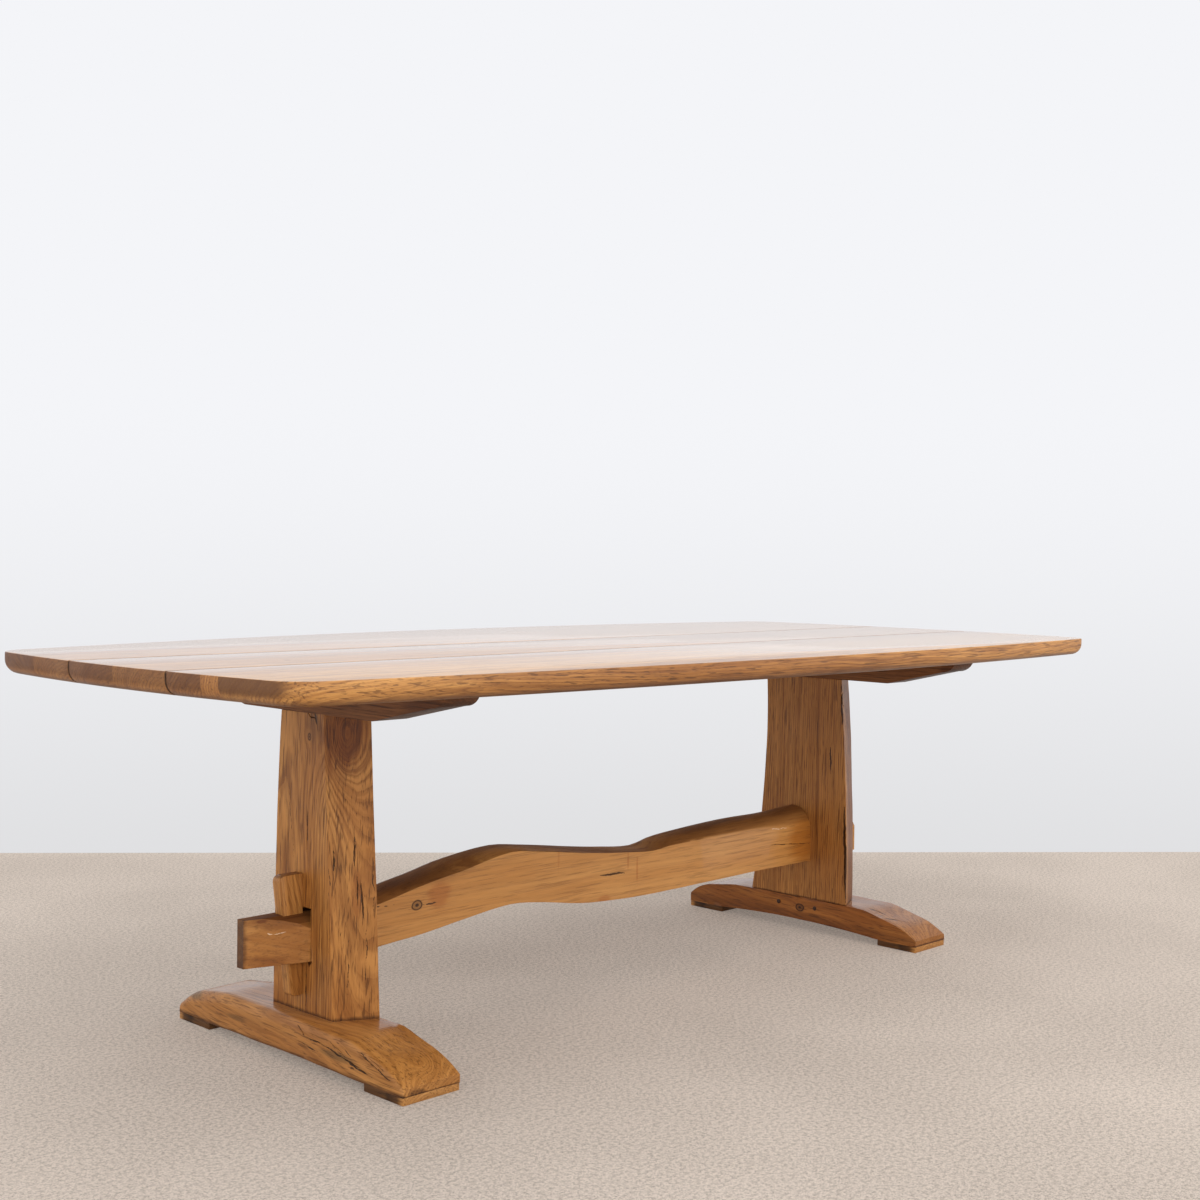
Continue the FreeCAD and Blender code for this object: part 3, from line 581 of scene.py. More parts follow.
# For each crack: its two ends, the way into the wood, its width and its depth
LEG_CRACKS = {
    "left": [
        ((-0.798, -0.003, 0.641), (-0.798, -0.036, 0.628), OUTER_WAY, 0.003, 0.01),
        ((-0.798, -0.01, 0.172), (-0.798, -0.012, 0.086), OUTER_WAY, 0.0014, 0.012),
        ((-0.798, -0.011, 0.462), (-0.798, -0.009, 0.378), OUTER_WAY, 0.0012, 0.008),
        ((-0.789, -0.078, 0.392), (-0.788, -0.082, 0.352), BEVEL_WAY, 0.0013, 0.01),
        ((-0.753, -0.094, 0.422), (-0.755, -0.098, 0.358), BEVEL_WAY, 0.0013, 0.012),
        ((-0.75, -0.1, 0.346), (-0.752, -0.104, 0.284), BEVEL_WAY, 0.0012, 0.012),
        ((-0.744, -0.103, 0.332), (-0.742, -0.11, 0.262), BEVEL_WAY, 0.0015, 0.014)],
    "right": [
        ((0.718, -0.126, 0.64), (0.718, -0.129, 0.54), INNER_WAY, 0.0036, 0.014),
        ((0.718, -0.139, 0.33), (0.718, -0.147, 0.09), INNER_WAY, 0.0034, 0.016)]}
LEFT_LEG = dict(
    heart=(-0.61, 0.09, 0.3), tones=HONEY, ring=0.0048, wave=0.005, lines=0.82,
    swells=[((-0.764, -0.077, 0.606), (0.04, 0.04, 0.08), -0.07)],
    knots=[((-0.798, -0.014, 0.596), 0.0048, (0.6, 1.0, 0.7))],
    stains_and_shade=[
        # Dark heartwood at the bevel's head, deepened with painted shade under the top.
        ((-0.764, -0.078, 0.61), (0.075, 0.036, 0.1), (0.38, 0.22, 0.07), 0.88),
        ((-0.798, -0.03, 0.62), (0.02, 0.03, 0.045), (0.5, 0.5, 0.55), 0.6),
        # Painted shade at the foot of the leg, where it meets the foot.
        ((-0.758, 0.0, 0.078), (0.2, 0.3, 0.01), (0.25, 0.2, 0.15), 0.85),
        ((-0.752, -0.104, 0.31), (0.014, 0.02, 0.06), (0.66, 0.5, 0.36), 0.6),
        ((-0.78, -0.09, 0.37), (0.014, 0.02, 0.04), (0.55, 0.5, 0.45), 0.6)],
    splits=[
        ((-0.798, -0.003, 0.65), (-0.798, -0.031, 0.643), 0.004),
        ((-0.798, -0.031, 0.648), (-0.798, -0.037, 0.622), 0.004),
        ((-0.798, -0.011, 0.175), (-0.798, -0.012, 0.08), 0.0022),
        ((-0.798, 0.05, 0.5), (-0.798, 0.03, 0.36), 0.001),
        ((-0.798, -0.012, 0.46), (-0.798, -0.009, 0.38), 0.0016),
        ((-0.797, -0.079, 0.39), (-0.797, -0.08, 0.2), 0.0012),
        ((-0.789, -0.08, 0.392), (-0.788, -0.083, 0.352), 0.0026),
        ((-0.753, -0.094, 0.42), (-0.755, -0.097, 0.36), 0.0024),
        ((-0.75, -0.101, 0.345), (-0.752, -0.103, 0.285), 0.002),
        ((-0.744, -0.104, 0.33), (-0.742, -0.109, 0.265), 0.0028),
        ((-0.722, -0.112, 0.42), (-0.724, -0.117, 0.27), 0.0016),
        ((-0.768, -0.1, 0.27), (-0.77, -0.103, 0.11), 0.0014),
        ((-0.736, -0.113, 0.25), (-0.742, -0.117, 0.12), 0.0014),
        ((-0.78, -0.093, 0.3), (-0.782, -0.098, 0.18), 0.0014)])
RIGHT_LEG = dict(
    heart=(0.76, -0.3, 0.3), tones=DEEP_GOLD, ring=0.006, wave=0.003, lines=0.72,
    stains_and_shade=[
        # Painted shade at the foot of the leg, where it meets the foot.
        ((0.758, 0.0, 0.078), (0.2, 0.3, 0.008), (0.25, 0.2, 0.15), 0.8),
        # Painted shade over the right leg's near bevel.
        ((0.772, -0.125, 0.36), (0.05, 0.06, 0.7), (0.5, 0.38, 0.28), 0.9)],
    splits=[
        ((0.718, -0.127, 0.63), (0.718, -0.129, 0.53), 0.006),
        ((0.718, -0.14, 0.325), (0.718, -0.149, 0.085), 0.0055),
        ((0.718, -0.095, 0.47), (0.718, -0.097, 0.405), 0.0035)])
LEG_OAK = {"left": LEFT_LEG, "right": RIGHT_LEG}


def curve_at(places, values, place):
    """The height of the parabola through three points."""
    total = 0.0
    for first, value in zip(places, values):
        total += value * math.prod((place - other) / (first - other)
                                   for other in places if other != first)
    return total


def carve(piece, block, operation="DIFFERENCE"):
    """Cut a block out of a piece, or unite it with the piece."""
    bpy.ops.object.mode_set(mode="OBJECT")
    bpy.context.view_layer.objects.active = piece
    boolean = piece.modifiers.new("carve", "BOOLEAN")
    boolean.operation = operation
    boolean.object = block
    bpy.ops.object.modifier_apply(modifier=boolean.name)
    bpy.data.objects.remove(block)


def waviness(name, size):
    """The slow waviness of a surface that was planed and worn by hand."""
    texture = bpy.data.textures.new(name, "CLOUDS")
    texture.noise_scale = size
    texture.noise_depth = 1
    return texture


# The blade that cuts a crack reaches in by the crack's depth and stands out of the wood
BLADE_TIP, BLADE_BACK = -1.0, 0.4
CRACK_END = 0.0003


def open_crack(piece, start, stop, inward, width, depth):
    """Cut a crooked crack into a piece between two points, widest at its middle."""
    start, run, inward = Vector(start), Vector(stop) - Vector(start), Vector(inward).normalized()
    blade = sawn_block("blade", (0.0, -0.5, BLADE_TIP), (1.0, 0.5, BLADE_BACK))
    places = evenly(0.0, 1.0, 7)
    score(0, places)
    for place in (0.0, *places, 1.0):
        gape = CRACK_END + width * math.sin(math.pi * place)
        sway = 0.7 * width * math.sin(9.0 * place + 50.0 * start.z)
        for side in (-1, 1):
            for level, share in ((BLADE_BACK, 1.0), (BLADE_TIP, 0.3)):
                shift(at(x=place, y=side * 0.5, z=level),
                      (0.0, side * (gape * share / 2 - 0.5) + sway, 0.0))
    bpy.ops.object.mode_set(mode="OBJECT")
    across = run.cross(inward).normalized()
    blade.matrix_world = (Matrix.Translation(start)
                          @ Matrix((run, across, -inward * depth)).transposed().to_4x4())
    bpy.ops.object.transform_apply(location=True, rotation=True, scale=True)
    carve(piece, blade)


def close_up(piece):
    """Dissolve the stray vertices that cracks leave in a piece's edges."""
    bpy.ops.object.mode_set(mode="EDIT")
    pick("verts", lambda vert: len(vert.link_edges) == 2)
    bpy.ops.mesh.dissolve_verts()
    leave(piece)


hand_planed = waviness("hand_planed", 0.14)
for side, sign in SIDES.items():
    inner, outer = sorted((sign * LEG_INNER, sign * LEG_OUTER))
    leg = sawn_block(f"bevelled_{side}_leg", (inner, -SAWN_HALF, LEG_HEIGHTS[0]),
                     (outer, SAWN_HALF, LEG_HEIGHTS[2]))
    slices = evenly(LEG_HEIGHTS[0], LEG_HEIGHTS[2], LEG_SLICES)
    score(2, slices)
    for z in (LEG_HEIGHTS[0], *slices, LEG_HEIGHTS[2]):
        for edge, values in LEG_EDGES[side].items():
            shift(lambda vert: abs(vert.co.z - z) < SMALL and vert.co.y * edge > SMALL,
                  (0.0, edge * (curve_at(LEG_HEIGHTS, values, z) - SAWN_HALF), 0.0))
    for edge in (-1, 1):
        shift(lambda vert: abs(vert.co.x) > LEG_OUTER - SMALL and vert.co.y * edge > 0,
              (0.0, -edge * LEG_BEVEL, 0.0))
    score(1, evenly(-SAWN_HALF - OVERSHOOT, SAWN_HALF + OVERSHOOT, LEG_COLUMNS))
    score(0, [sign * x for x in evenly(LEG_INNER, LEG_OUTER, LEG_LAYERS)])
    leave(leg)
    carve(leg, sawn_block("mortise", (inner - OVERSHOOT, *MORTISE_LOW),
                          (outer + OVERSHOOT, *MORTISE_HIGH)))
    bpy.ops.object.mode_set(mode="EDIT")
    leave(leg, [worn_arrises(0.0022, sharp=30.0),
                ("DISPLACE", {"texture": hand_planed, "strength": 0.0035})])
    # The outer face is true enough for the key to slide on
    for vert in leg.data.vertices:
        vert.co.x = sign * min(abs(vert.co.x), LEG_OUTER)
    for crack in LEG_CRACKS[side]:
        open_crack(leg, *crack)
    close_up(leg)
    leg.data.materials.append(oak(f"{side}_leg_oak", turn=(0.02, 0.03, 0.0), pores=0.85,
                                  coat=(0.1, 0.1), **LEG_OAK[side]))
    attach(leg, "table")
    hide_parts(f"{side}_leg")

# --- Feet ---
# A long block of oak under each leg: level under the leg, sloping down to rounded toes.
# Its underside is arched a little between the pads.
FOOT_INNER, FOOT_WIDTH, FOOT_HALF, FOOT_FLAT = 0.716, 0.126, 0.355, 0.205
FOOT_TOP, FOOT_LIP = 0.08, 0.006
# The near and the far toe: the rounding's length, the drop to it, its fullness, its end height
TOES = {-1: (0.085, 0.017, 0.57, 0.028), 1: (0.065, 0.013, 0.6, 0.034)}
PAD_THICKNESS, PAD_LENGTH = 0.014, 0.109
FOOT_ARCH = {"left": 0.002, "right": 0.01}
# The round of the outer arris, which is more worn on the left foot
FOOT_WANE = {"left": [(-0.356, 0.008), (-0.31, 0.012), (-0.14, 0.016), (0.0, 0.018),
                      (0.2, 0.02), (0.3, 0.024), (0.356, 0.018)],
             "right": [(-0.356, 0.004), (0.0, 0.005), (0.356, 0.004)]}
ROUND_COLUMNS = (0.0025, 0.007, 0.013, 0.02, 0.028, 0.037, 0.047)
ROUND_ROWS = (0.026, 0.034, 0.042, 0.05, 0.058, 0.066, 0.073)
# Slices every 20 mm, and closer ones over the toe
FOOT_SLICES = [*(0.02 * step for step in range(1, 15)),
               0.295, 0.31, 0.317, 0.324, 0.331, 0.338, 0.344, 0.349, 0.3525]
DOWN, SIDEWAYS = (0.0, 0.0, -1.0), (1.0, 0.0, -0.2)
FOOT_CRACKS = {
    "left": [
        ((-0.838, -0.045, 0.072), (-0.842, -0.073, 0.059), SIDEWAYS, 0.0011, 0.01),
        ((-0.842, -0.076, 0.0585), (-0.842, -0.131, 0.054), SIDEWAYS, 0.0013, 0.012),
        ((-0.842, -0.136, 0.0535), (-0.842, -0.266, 0.0305), SIDEWAYS, 0.0015, 0.012),
        ((-0.842, -0.15, 0.064), (-0.842, -0.195, 0.0475), SIDEWAYS, 0.0012, 0.01),
        ((-0.841, -0.224, 0.066), (-0.842, -0.312, 0.037), SIDEWAYS, 0.0013, 0.01),
        ((-0.841, -0.254, 0.0625), (-0.842, -0.3, 0.0475), SIDEWAYS, 0.0009, 0.008)],
    "right": [
        ((0.744, -0.205, 0.079), (0.751, -0.24, 0.071), DOWN, 0.0026, 0.01),
        ((0.727, -0.256, 0.067), (0.768, -0.297, 0.054), DOWN, 0.0028, 0.012)]}
WEATHERED = (0.35, 0.45, 0.6)


def chain(width, *spots):
    """A dark line through several points, as one split for each of its runs."""
    return [(start, stop, width) for start, stop in zip(spots, spots[1:])]


LEFT_FOOT = dict(
    tones=HONEY,
    swells=[((-0.768, -0.306, 0.046), (0.03, 0.045, 0.03), 0.06)],
    stains_and_shade=[
        ((-0.835, 0.31, 0.056), (0.02, 0.04, 0.01), WEATHERED, 0.7),
        ((-0.842, 0.15, 0.045), (0.012, 0.04, 0.007), WEATHERED, 0.55),
        # Painted shadow along the lower edge of the outer side, above the gap under the foot.
        ((-0.842, 0.0, 0.008), (0.012, 1.5, 0.014), (0.22, 0.17, 0.13), 0.9),
        ((-0.842, 0.0, 0.04), (0.006, 0.5, 0.06), (0.92, 0.9, 0.92), 0.9),
        ((-0.841, -0.165, 0.044), (0.02, 0.06, 0.01), WEATHERED, 0.65),
        ((-0.78, -0.31, 0.045), (0.09, 0.07, 0.06), (0.8, 0.74, 0.64), 0.85),
        # Painted shadow at the toe's lower edge, over its pad.
        ((-0.812, -0.352, 0.018), (0.022, 0.014, 0.008), (0.3, 0.26, 0.24), 0.8),
        ((-0.78, -0.355, 0.013), (0.2, 0.012, 0.0035), (0.25, 0.2, 0.16), 0.9)],
    splits=[
        *chain(0.0018, (-0.838, -0.043, 0.073), (-0.842, -0.072, 0.059), (-0.842, -0.133, 0.054)),
        ((-0.842, -0.133, 0.054), (-0.842, -0.192, 0.0445), 0.0022),
        ((-0.842, -0.19, 0.045), (-0.842, -0.272, 0.028), 0.002),
        *chain(0.0016, (-0.838, -0.158, 0.073), (-0.842, -0.18, 0.065), (-0.842, -0.212, 0.052)),
        ((-0.842, -0.147, 0.065), (-0.842, -0.204, 0.0405), 0.0016),
        ((-0.842, -0.2, 0.041), (-0.842, -0.24, 0.0345), 0.0016),
        ((-0.841, -0.223, 0.067), (-0.842, -0.283, 0.0465), 0.0018),
        ((-0.842, -0.28, 0.0475), (-0.842, -0.322, 0.034), 0.0018),
        ((-0.84, -0.238, 0.067), (-0.842, -0.296, 0.051), 0.0014),
        ((-0.841, -0.252, 0.0645), (-0.842, -0.308, 0.044), 0.0014),
        ((-0.842, -0.186, 0.047), (-0.842, -0.235, 0.037), 0.0014),
        ((-0.842, -0.056, 0.0445), (-0.842, -0.112, 0.04), 0.0014),
        ((-0.842, -0.205, 0.034), (-0.842, -0.222, 0.0325), 0.003),
        *chain(0.0011, (-0.756, -0.238, 0.071), (-0.735, -0.263, 0.064), (-0.733, -0.294, 0.052),
               (-0.745, -0.328, 0.038), (-0.76, -0.354, 0.018)),
        ((-0.72, -0.245, 0.069), (-0.717, -0.3, 0.05), 0.001),
        *chain(0.001, (-0.719, -0.316, 0.043), (-0.733, -0.344, 0.029), (-0.743, -0.355, 0.018)),
        ((-0.799, -0.284, 0.053), (-0.793, -0.323, 0.04), 0.0012),
        ((-0.793, -0.323, 0.04), (-0.775, -0.354, 0.018), 0.0013)])
RIGHT_FOOT = dict(
    tones=AMBER,
    knots=[((0.716, -0.01, 0.054), 0.009, (0.6, 0.7, 1.0))],
    stains_and_shade=[
        # Painted shadow along the lower edge of the inner side.
        ((0.716, 0.0, 0.026), (0.01, 0.5, 0.02), (0.45, 0.38, 0.3), 0.6),
        ((0.716, 0.0, 0.05), (0.004, 0.5, 0.1), (0.82, 0.68, 0.5), 0.9),
        # Painted shadow at the toe's lower edge, over its pad.
        ((0.78, -0.355, 0.013), (0.2, 0.012, 0.006), (0.28, 0.22, 0.18), 0.9)],
    splits=[
        ((0.742, -0.195, 0.08), (0.751, -0.245, 0.07), 0.0036),
        ((0.724, -0.252, 0.068), (0.77, -0.3, 0.053), 0.004)])
FOOT_OAK = {"left": LEFT_FOOT, "right": RIGHT_FOOT}


def foot_height(y):
    """The height of a foot's upper edge at a place along it."""
    run, slope_drop, fullness, end_height = TOES[1 if y > 0 else -1]
    turn = FOOT_HALF - run
    if abs(y) <= FOOT_FLAT:
        return FOOT_TOP
    if abs(y) <= turn:
        return FOOT_TOP - slope_drop * (abs(y) - FOOT_FLAT) / (turn - FOOT_FLAT)
    # The toe is part of the circle through its two ends and the point of its fullness
    drop = FOOT_TOP - slope_drop - end_height
    across, up = run * (1 - fullness), drop * fullness
    span = 2 * (run * up - drop * across)
    centre_in = (run ** 2 * up + drop ** 2 * up - drop * (across ** 2 + up ** 2)) / span
    centre_up = (run * (across ** 2 + up ** 2) - across * (run ** 2 + drop ** 2)) / span
    inward = max(0.0, FOOT_HALF - abs(y))
    radius = math.hypot(centre_in, centre_up)
    return end_height + centre_up + math.sqrt(radius ** 2 - (inward - centre_in) ** 2)


def flow(stations, place):
    """Values drawn smoothly through a table of stations."""
    index = max(1, min(len(stations) - 1, sum(station[0] < place for station in stations)))
    start, end = stations[index - 1], stations[index]
    before = stations[max(index - 2, 0)]
    after = stations[min(index + 1, len(stations) - 1)]
    share = (place - start[0]) / (end[0] - start[0])
    values = []
    for column in range(1, len(start)):
        rise_in = (end[column] - before[column]) / (end[0] - before[0]) * (end[0] - start[0])
        rise_out = (after[column] - start[column]) / (after[0] - start[0]) * (end[0] - start[0])
        square, cube = share ** 2, share ** 3
        values.append((2 * cube - 3 * square + 1) * start[column]
                      + (cube - 2 * square + share) * rise_in
                      + (3 * square - 2 * cube) * end[column] + (cube - square) * rise_out)
    return values


def round_arris(outer, sign, stations):
    """Draw the corner beyond the circle of each slice's round back on to the circle."""
    mesh = bpy.context.edit_object.data
    shape = bmesh.from_edit_mesh(mesh)
    for vert in shape.verts:
        top = foot_height(vert.co.y)
        size = min(flow(stations, vert.co.y)[0], top - PAD_THICKNESS - FOOT_LIP)
        away = vert.co - Vector((outer - sign * size, vert.co.y, top - size))
        if away.x * sign > 0 and away.z > 0 and away.length > size:
            vert.co += away * (size / away.length - 1)
    bmesh.update_edit_mesh(mesh)


hand_hewn = waviness("hand_hewn", 0.09)
for side, sign in SIDES.items():
    near, far = sorted((sign * FOOT_INNER, sign * (FOOT_INNER + FOOT_WIDTH)))
    foot = sawn_block(f"long_{side}_foot", (near, -FOOT_HALF, PAD_THICKNESS),
                      (far, FOOT_HALF, FOOT_TOP))
    slices = [end * y for end in (-1, 1) for y in FOOT_SLICES]
    score(1, slices + [0.0])
    for y in slices + [-FOOT_HALF, FOOT_HALF]:
        shift(at(y=y, z=FOOT_TOP), (0.0, 0.0, foot_height(y) - FOOT_TOP))
    arch_half = FOOT_HALF - PAD_LENGTH
    for y in [y for y in slices + [0.0] if abs(y) < arch_half]:
        shift(at(y=y, z=PAD_THICKNESS), (0.0, 0.0, FOOT_ARCH[side] * (1 - (y / arch_half) ** 2)))
    outer = sign * (FOOT_INNER + FOOT_WIDTH)
    score(0, evenly(near, far, 6) + [outer - sign * x for x in ROUND_COLUMNS])
    score(2, ROUND_ROWS)
    round_arris(outer, sign, FOOT_WANE[side])
    leave(foot, [worn_arrises(0.003, 3), ("DISPLACE", {"texture": hand_hewn, "strength": 0.003})])
    for crack in FOOT_CRACKS[side]:
        open_crack(foot, *crack)
    close_up(foot)
    foot.data.materials.append(oak(
        f"{side}_foot_oak", ((near + far) / 2 + 0.05, 0.0, -0.03), (math.pi / 2 + 0.02, 0.0, 0.05),
        ring=0.008, lines=0.5, pores=0.7, coat=(0.12, 0.55), ends=0.15, **FOOT_OAK[side]))
    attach(foot, "table")
    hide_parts(f"{side}_foot")

# --- Pads ---
# Thin blocks of oak under the toes, each held by two screws from below. They are darker
# over most of their length and pale at their ends.
PAD_DARK_TONE = (0.16, 0.13, 0.12)
PAD_TONES = ((0.64, 0.33, 0.11), (0.52, 0.24, 0.066), (0.24, 0.09, 0.02))
PAD_DARK_SPOTS = [(0.09, 0.084), (0.03, 0.028)]

for side, sign in SIDES.items():
    near, far = sorted((sign * FOOT_INNER, sign * (FOOT_INNER + FOOT_WIDTH)))
    for row, end in (("near", -1), ("far", 1)):
        ends = sorted((end * FOOT_HALF, end * (FOOT_HALF - PAD_LENGTH)))
        pad = sawn_block(f"worn_{side}_{row}_pad", (near, ends[0], 0.0),
                         (far, ends[1], PAD_THICKNESS))
        score(0, evenly(near, far, 8))
        score(1, evenly(ends[0], ends[1], 7))
        leave(pad, [worn_arrises(0.0015)])
        pad.data.materials.append(oak(
            f"{side}_{row}_pad_oak", ((near + far) / 2, 0.0, -0.05), (math.pi / 2, 0.0, 0.0),
            PAD_TONES, pores=0.8, coat=(0.0, 0.0), ends=0.1,
            stains_and_shade=[(((near + far) / 2, end * (FOOT_HALF - inward), 0.0), (0.3, reach, 0.3),
                     PAD_DARK_TONE, 0.9) for inward, reach in PAD_DARK_SPOTS]))
        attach(pad, "table")
        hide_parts(f"{side}_{row}_pad")

# --- Stretcher ---
# One naturally curved oak beam. Its underside and cheeks are sawn, its upper edge keeps
# the round of the tree, and a through tenon at each end is locked by a key.
BEAM_HALF = 0.038
# Along the beam: how far its underside, its upper arris and its crest rise
BEAM_STATIONS = [
    (-1.0, 0.0, -0.011, 0.009), (-0.89, 0.007, 0.001, 0.017), (-0.75, 0.014, 0.021, 0.033),
    (-0.61, 0.026, 0.036, 0.053), (-0.43, 0.038, 0.057, 0.064), (-0.31, 0.03, 0.048, 0.055),
    (-0.125, 0.009, 0.029, 0.035), (0.03, 0.002, 0.016, 0.02), (0.18, -0.001, 0.007, 0.011),
    (0.26, -0.001, 0.012, 0.024), (0.4, 0.0, 0.013, 0.033), (0.6, 0.001, 0.013, 0.039),
    (0.82, 0.001, 0.009, 0.04), (1.0, 0.0, -0.001, 0.046)]
# Across the beam: how much of the way from the arris to the crest its edge rises
BEAM_ROUND = [(-1.0, 0.0), (-0.9, 0.22), (-0.7, 0.5), (-0.45, 0.75), (-0.2, 0.9), (0.2, 0.98),
              (0.6, 1.0), (0.85, 0.85), (1.0, 0.6)]
BEAM_SLICES = 56
PALE_HONEY = ((0.66, 0.325, 0.095), (0.56, 0.25, 0.063), (0.25, 0.09, 0.018))
FLAME, WEATHERED_EDGE = (0.7, 0.42, 0.28), (0.48, 0.42, 0.4)
BEAM_STAINS = [
    ((-0.5, -0.038, 0.262), (0.035, 0.02, 0.035), FLAME, 0.5),
    ((-0.6, -0.02, 0.3), (0.23, 0.045, 0.024), WEATHERED_EDGE, 0.65),
    ((0.3, 0.01, 0.315), (0.26, 0.06, 0.03), WEATHERED_EDGE, 0.65),
    ((0.6, -0.01, 0.318), (0.15, 0.05, 0.024), WEATHERED_EDGE, 0.5),
    ((0.7, -0.038, 0.24), (0.085, 0.02, 0.08), (0.74, 0.56, 0.3), 0.85),
    ((-0.028, -0.038, 0.186), (0.026, 0.02, 0.012), FLAME, 0.5),
    ((-0.17, -0.038, 0.3), (0.004, 0.02, 0.04), FLAME, 0.3),
    ((0.046, -0.038, 0.262), (0.004, 0.02, 0.026), FLAME, 0.45),
    ((0.076, -0.038, 0.24), (0.004, 0.02, 0.036), FLAME, 0.45),
    ((-0.86, -0.01, 0.215), (0.085, 0.07, 0.08), (0.7, 0.6, 0.46), 0.9),
    ((-0.86, 0.0, 0.262), (0.12, 0.08, 0.02), (0.66, 0.62, 0.62), 0.8),
    ((-0.89, 0.0, 0.186), (0.06, 0.08, 0.014), (0.66, 0.56, 0.46), 0.8),
    ((-0.887, 0.0, 0.262), (0.012, 0.08, 0.004), (0.5, 0.34, 0.24), 0.8),
    ((-0.925, 0.0, 0.22), (0.014, 0.08, 0.1), (0.4, 0.35, 0.35), 0.95)]
BEAM_SPLITS_AND_GLINTS = [
    ((-0.043, -0.038, 0.24), (0.037, -0.038, 0.237), 0.003),
    ((-0.69, -0.038, 0.262), (-0.612, -0.038, 0.26), 0.0018),
    ((-0.54, -0.038, 0.249), (-0.5, -0.038, 0.249), 0.002),
    ((0.554, -0.038, 0.236), (0.716, -0.038, 0.222), 0.0016),
    # The last four are pale lines along worn arrises of the tenon and beam: painted highlights.
    ((-0.89, 0.003, 0.243), (-0.86, -0.006, 0.235), 0.0012, STRAW_AND_GLINT),
    ((-0.861, -0.006, 0.235), (-0.841, -0.011, 0.24), 0.0012, STRAW_AND_GLINT),
    ((-0.69, -0.037, 0.263), (-0.63, -0.037, 0.283), 0.0011, STRAW_AND_GLINT),
    ((0.55, -0.038, 0.277), (0.625, -0.038, 0.271), 0.0012, STRAW_AND_GLINT)]
CHEEK_WAY = (0.0, 1.0, 0.0)
BEAM_CRACKS = [
    ((-0.043, -0.038, 0.24), (0.037, -0.038, 0.237), CHEEK_WAY, 0.0018, 0.008),
    ((0.56, -0.038, 0.236), (0.7, -0.038, 0.223), CHEEK_WAY, 0.0006, 0.008)]
TENON_BASE, TENON_TOP = 0.178, 0.267
TENON_NEAR, TENON_FAR = -0.024, 0.032
TENON_ENDS = {"left": 0.92, "right": 0.928}
TENON_END_Y = 0.012
TENON_BEVEL = 0.0265
KEY_BASE, KEY_TOP = 0.112, 0.34
KEY_NEAR, KEY_FAR = 0.0, 0.024
KEY_HEAD, KEY_TIP = 0.054, 0.025
# The slot's play beside the key, and how far it runs on inside the leg
KEY_CLEARANCE, SLOT_BEHIND = 0.0004, 0.004
TENON_OVERLAP = 0.005

beam = sawn_block("waney_stretcher", (-LEG_INNER, -BEAM_HALF, TENON_BASE),
                  (LEG_INNER, BEAM_HALF, TENON_TOP))
slices = evenly(-1.0, 1.0, BEAM_SLICES)
score(0, [share * LEG_INNER for share in slices])
score(1, [share * BEAM_HALF for share, _ in BEAM_ROUND[1:-1]])
for share in [-1.0, *slices, 1.0]:
    under, arris, crest = flow(BEAM_STATIONS, share)
    x = share * LEG_INNER
    shift(at(x=x, z=TENON_BASE), (0.0, 0.0, under))
    for place, rise in BEAM_ROUND:
        shift(at(x=x, y=place * BEAM_HALF, z=TENON_TOP),
              (0.0, 0.0, arris + rise * (crest - arris)))
leave(beam)
for side, sign in SIDES.items():
    inner, end = sorted((sign * (LEG_INNER - TENON_OVERLAP), sign * TENON_ENDS[side]))
    tenon = sawn_block("tenon", (inner, TENON_NEAR, TENON_BASE), (end, TENON_FAR, TENON_TOP))
    pick("edges", lambda edge: run_of(edge).x > 0.99 and spot_of(edge).z > TENON_TOP - SMALL
         and spot_of(edge).y < 0)
    ease(TENON_BEVEL, 3, profile=0.35)
    if side == "left":
        taper = Vector((TENON_NEAR - TENON_END_Y, LEG_OUTER - TENON_ENDS[side], 0.0))
        cut_plane((sign * LEG_OUTER, TENON_NEAR, 0.0), taper.normalized(), clear=True)
    carve(beam, tenon, "UNION")
    slot = sawn_block("slot", (-1.0, KEY_NEAR - KEY_CLEARANCE, KEY_BASE),
                      (1.0, KEY_FAR + KEY_CLEARANCE, KEY_TOP))
    lean = Vector((sign * (KEY_TOP - KEY_BASE), 0.0, KEY_TIP - KEY_HEAD)).normalized()
    cut_plane((sign * (LEG_OUTER + KEY_TIP + KEY_CLEARANCE / 2), 0.0, KEY_BASE), lean, clear=True)
    cut_plane((sign * (LEG_OUTER - SLOT_BEHIND), 0.0, 0.0), (-sign, 0.0, 0.0), clear=True)
    carve(beam, slot)
bpy.ops.object.mode_set(mode="EDIT")
leave(beam, [worn_arrises(0.0022, sharp=45.0),
             ("DISPLACE", {"texture": hand_planed, "strength": 0.002})])
for crack in BEAM_CRACKS:
    open_crack(beam, *crack)
bpy.ops.object.shade_smooth_by_angle(angle=SMOOTH_ANGLE)
beam.data.materials.append(oak(
    "stretcher_oak", (0.0, 0.1, 0.06), LENGTHWAYS, PALE_HONEY, ring=0.012,
    wave=0.006, lines=0.26, pores=0.35, gloss=(0.34, 0.48), coat=(0.3, 0.0), worn_top=0.85,
    knots=[((-0.556, -0.038, 0.251), 0.01, (0.8, 0.4, 1.0))], stains_and_shade=BEAM_STAINS,
    splits=BEAM_SPLITS_AND_GLINTS))
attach(beam, "table")
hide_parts("stretcher")

# --- Keys ---
# A tapered oak key driven down through each tenon, straight against the leg and sloping
# on its outer edge. It lifts out to take the table apart.
KEY_ROUNDS = {"head": 0.014, "tip": 0.009}

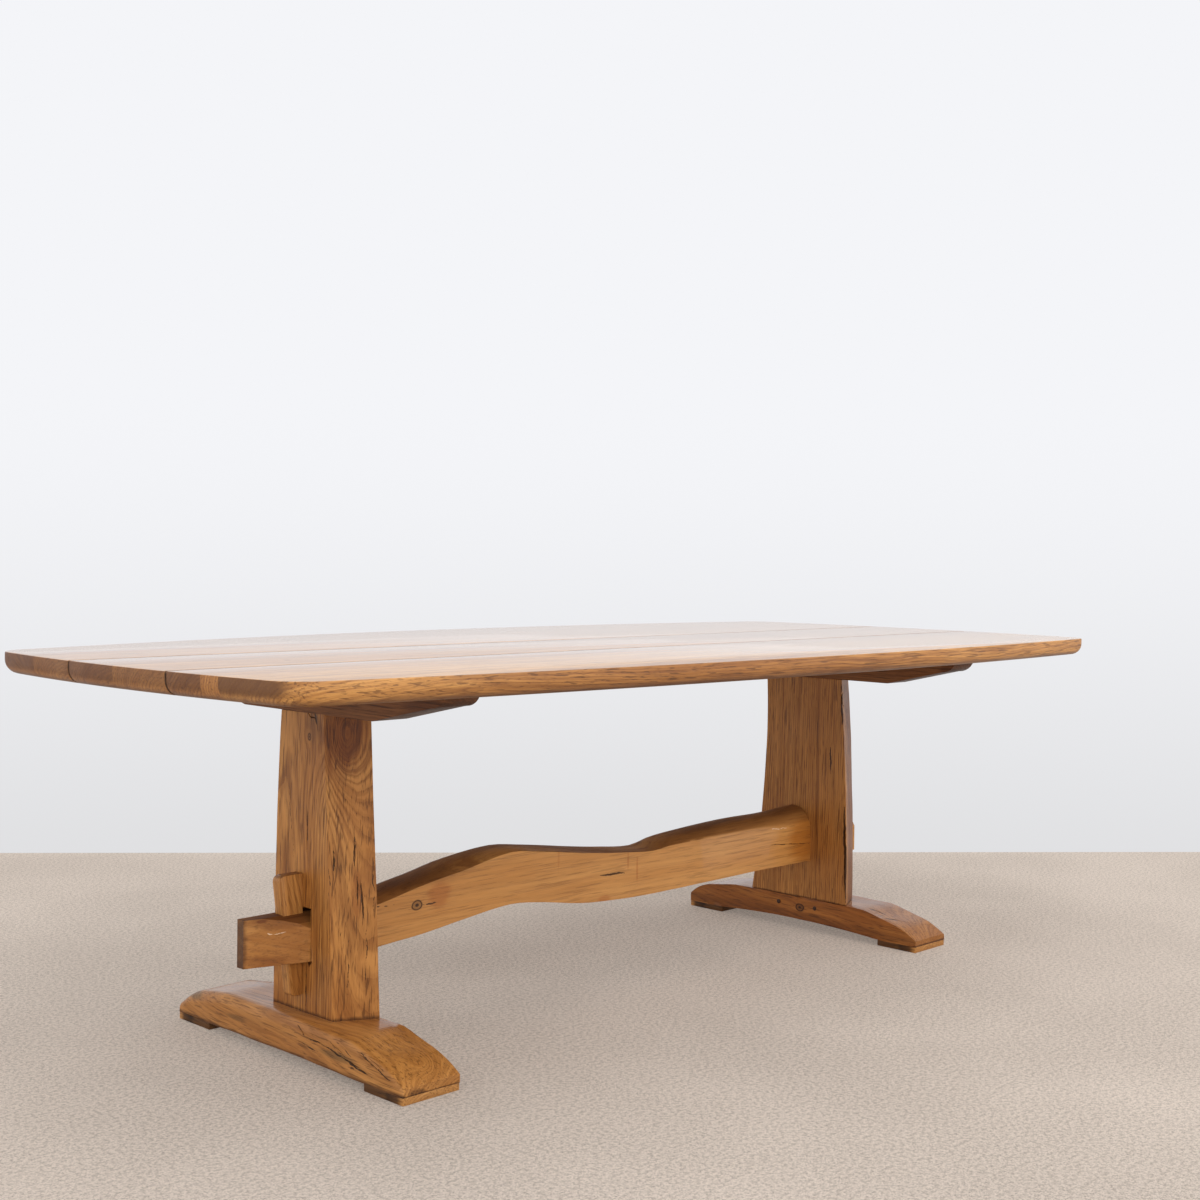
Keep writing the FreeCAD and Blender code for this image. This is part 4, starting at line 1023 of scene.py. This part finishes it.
for side, sign in SIDES.items():
    inner, outer = sorted((sign * LEG_OUTER, sign * (LEG_OUTER + KEY_HEAD)))
    key = sawn_block(f"tapered_{side}_key", (inner, KEY_NEAR, KEY_BASE), (outer, KEY_FAR, KEY_TOP))
    shift(lambda vert: vert.co.z < KEY_BASE + SMALL and abs(vert.co.x) > LEG_OUTER + SMALL,
          (sign * (KEY_TIP - KEY_HEAD), 0.0, 0.0))
    for z, size in ((KEY_TOP, KEY_ROUNDS["head"]), (KEY_BASE, KEY_ROUNDS["tip"])):
        pick("edges", lambda edge: run_of(edge).y > 0.99 and abs(spot_of(edge).z - z) < SMALL
             and abs(spot_of(edge).x) > LEG_OUTER + SMALL)
        ease(size, 5)
    leave(key, [worn_arrises(0.0015)])
    key.data.materials.append(oak(f"{side}_key_oak", (sign * 0.86, 0.09, 0.2), (0.06, -0.28, 0.0),
                                  PALE_HONEY, ring=0.008, lines=0.8, pores=0.5))
    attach(key, f"{side}_key")
    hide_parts(f"{side}_key")

# --- Pegs ---
# Two round oak pegs through each foot and the leg's tenon in it, dark with wax. They stand
# barely proud, and those of the left foot stop short of its rounded outer face.
PEG_RADIUS, PEG_Y, PEG_Z = 0.0055, 0.057, 0.059
PEG_TONES = ((0.11, 0.04, 0.013), (0.08, 0.028, 0.009), (0.04, 0.013, 0.004))
PEG_ENDS = {"left": (-0.816, -0.715), "right": (0.7142, 0.843)}

peg_oak = oak("peg_oak", (0.0, 0.0, PEG_Z), LENGTHWAYS, PEG_TONES, ring=0.002)
for side, sign in SIDES.items():
    bpy.ops.object.select_all(action="DESELECT")
    near, far = PEG_ENDS[side]
    for y in (-PEG_Y, PEG_Y):
        bpy.ops.mesh.primitive_cylinder_add(vertices=20, radius=PEG_RADIUS, depth=far - near,
                                            location=((near + far) / 2, y, PEG_Z),
                                            rotation=LENGTHWAYS)
        if y < 0:
            first = bpy.context.object
    first.select_set(True)
    bpy.ops.object.join()
    pegs = bpy.context.object
    pegs.name = pegs.data.name = f"round_{side}_foot_pegs"
    bpy.ops.object.transform_apply(location=True, rotation=True, scale=True)
    bpy.ops.object.mode_set(mode="EDIT")
    leave(pegs, [worn_arrises(0.0008, sharp=50.0)])
    pegs.data.materials.append(peg_oak)
    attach(pegs, "table")
    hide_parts(f"{side}_foot_pegs")

# --- Tongues and tenon wedges ---
# Loose tongues of plain oak let into the open joints of the top, and oak wedges driven into
# the heads of the legs' tenons.


def finish_in(material, *names):
    """Give the solids that are shown as they are a material."""
    for name in names:
        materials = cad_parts[name].data.materials
        materials.clear()
        materials.append(material)


tongue_oak = oak("tongue_oak", (0.0, 0.2, 0.6), (0.0, math.pi / 2, skew), UMBER)
wedge_oak = oak("wedge_oak", (0.6, 0.0, 0.3), (0.0, 0.0, 0.0), AMBER)
finish_in(tongue_oak, "far_tongue", "near_tongue")
finish_in(wedge_oak, "left_tenon_wedges", "right_tenon_wedges")

# --- Screws and washers ---
# Plain steel screws with washers, driven up through the cleats, hold the top. Small ones
# with sunk heads hold the pads under the feet.
steel, place = new_material("dulled_steel")
brushed = place.noise((400.0, 400.0, 40.0), 2.0)
tarnish = place.noise((60.0, 60.0, 60.0), 3.0).step(0.4, 0.7)
close_material(place, {"Base Color": tarnish.mix((0.48, 0.46, 0.43, 1.0), (0.2, 0.17, 0.14, 1.0)),
                       "Roughness": 0.3 + 0.25 * tarnish, "Metallic": 1.0}, brushed, 0.0001)
for side in SIDES:
    finish_in(steel, f"{side}_top_screws", f"{side}_top_washers", f"{side}_pad_screws")
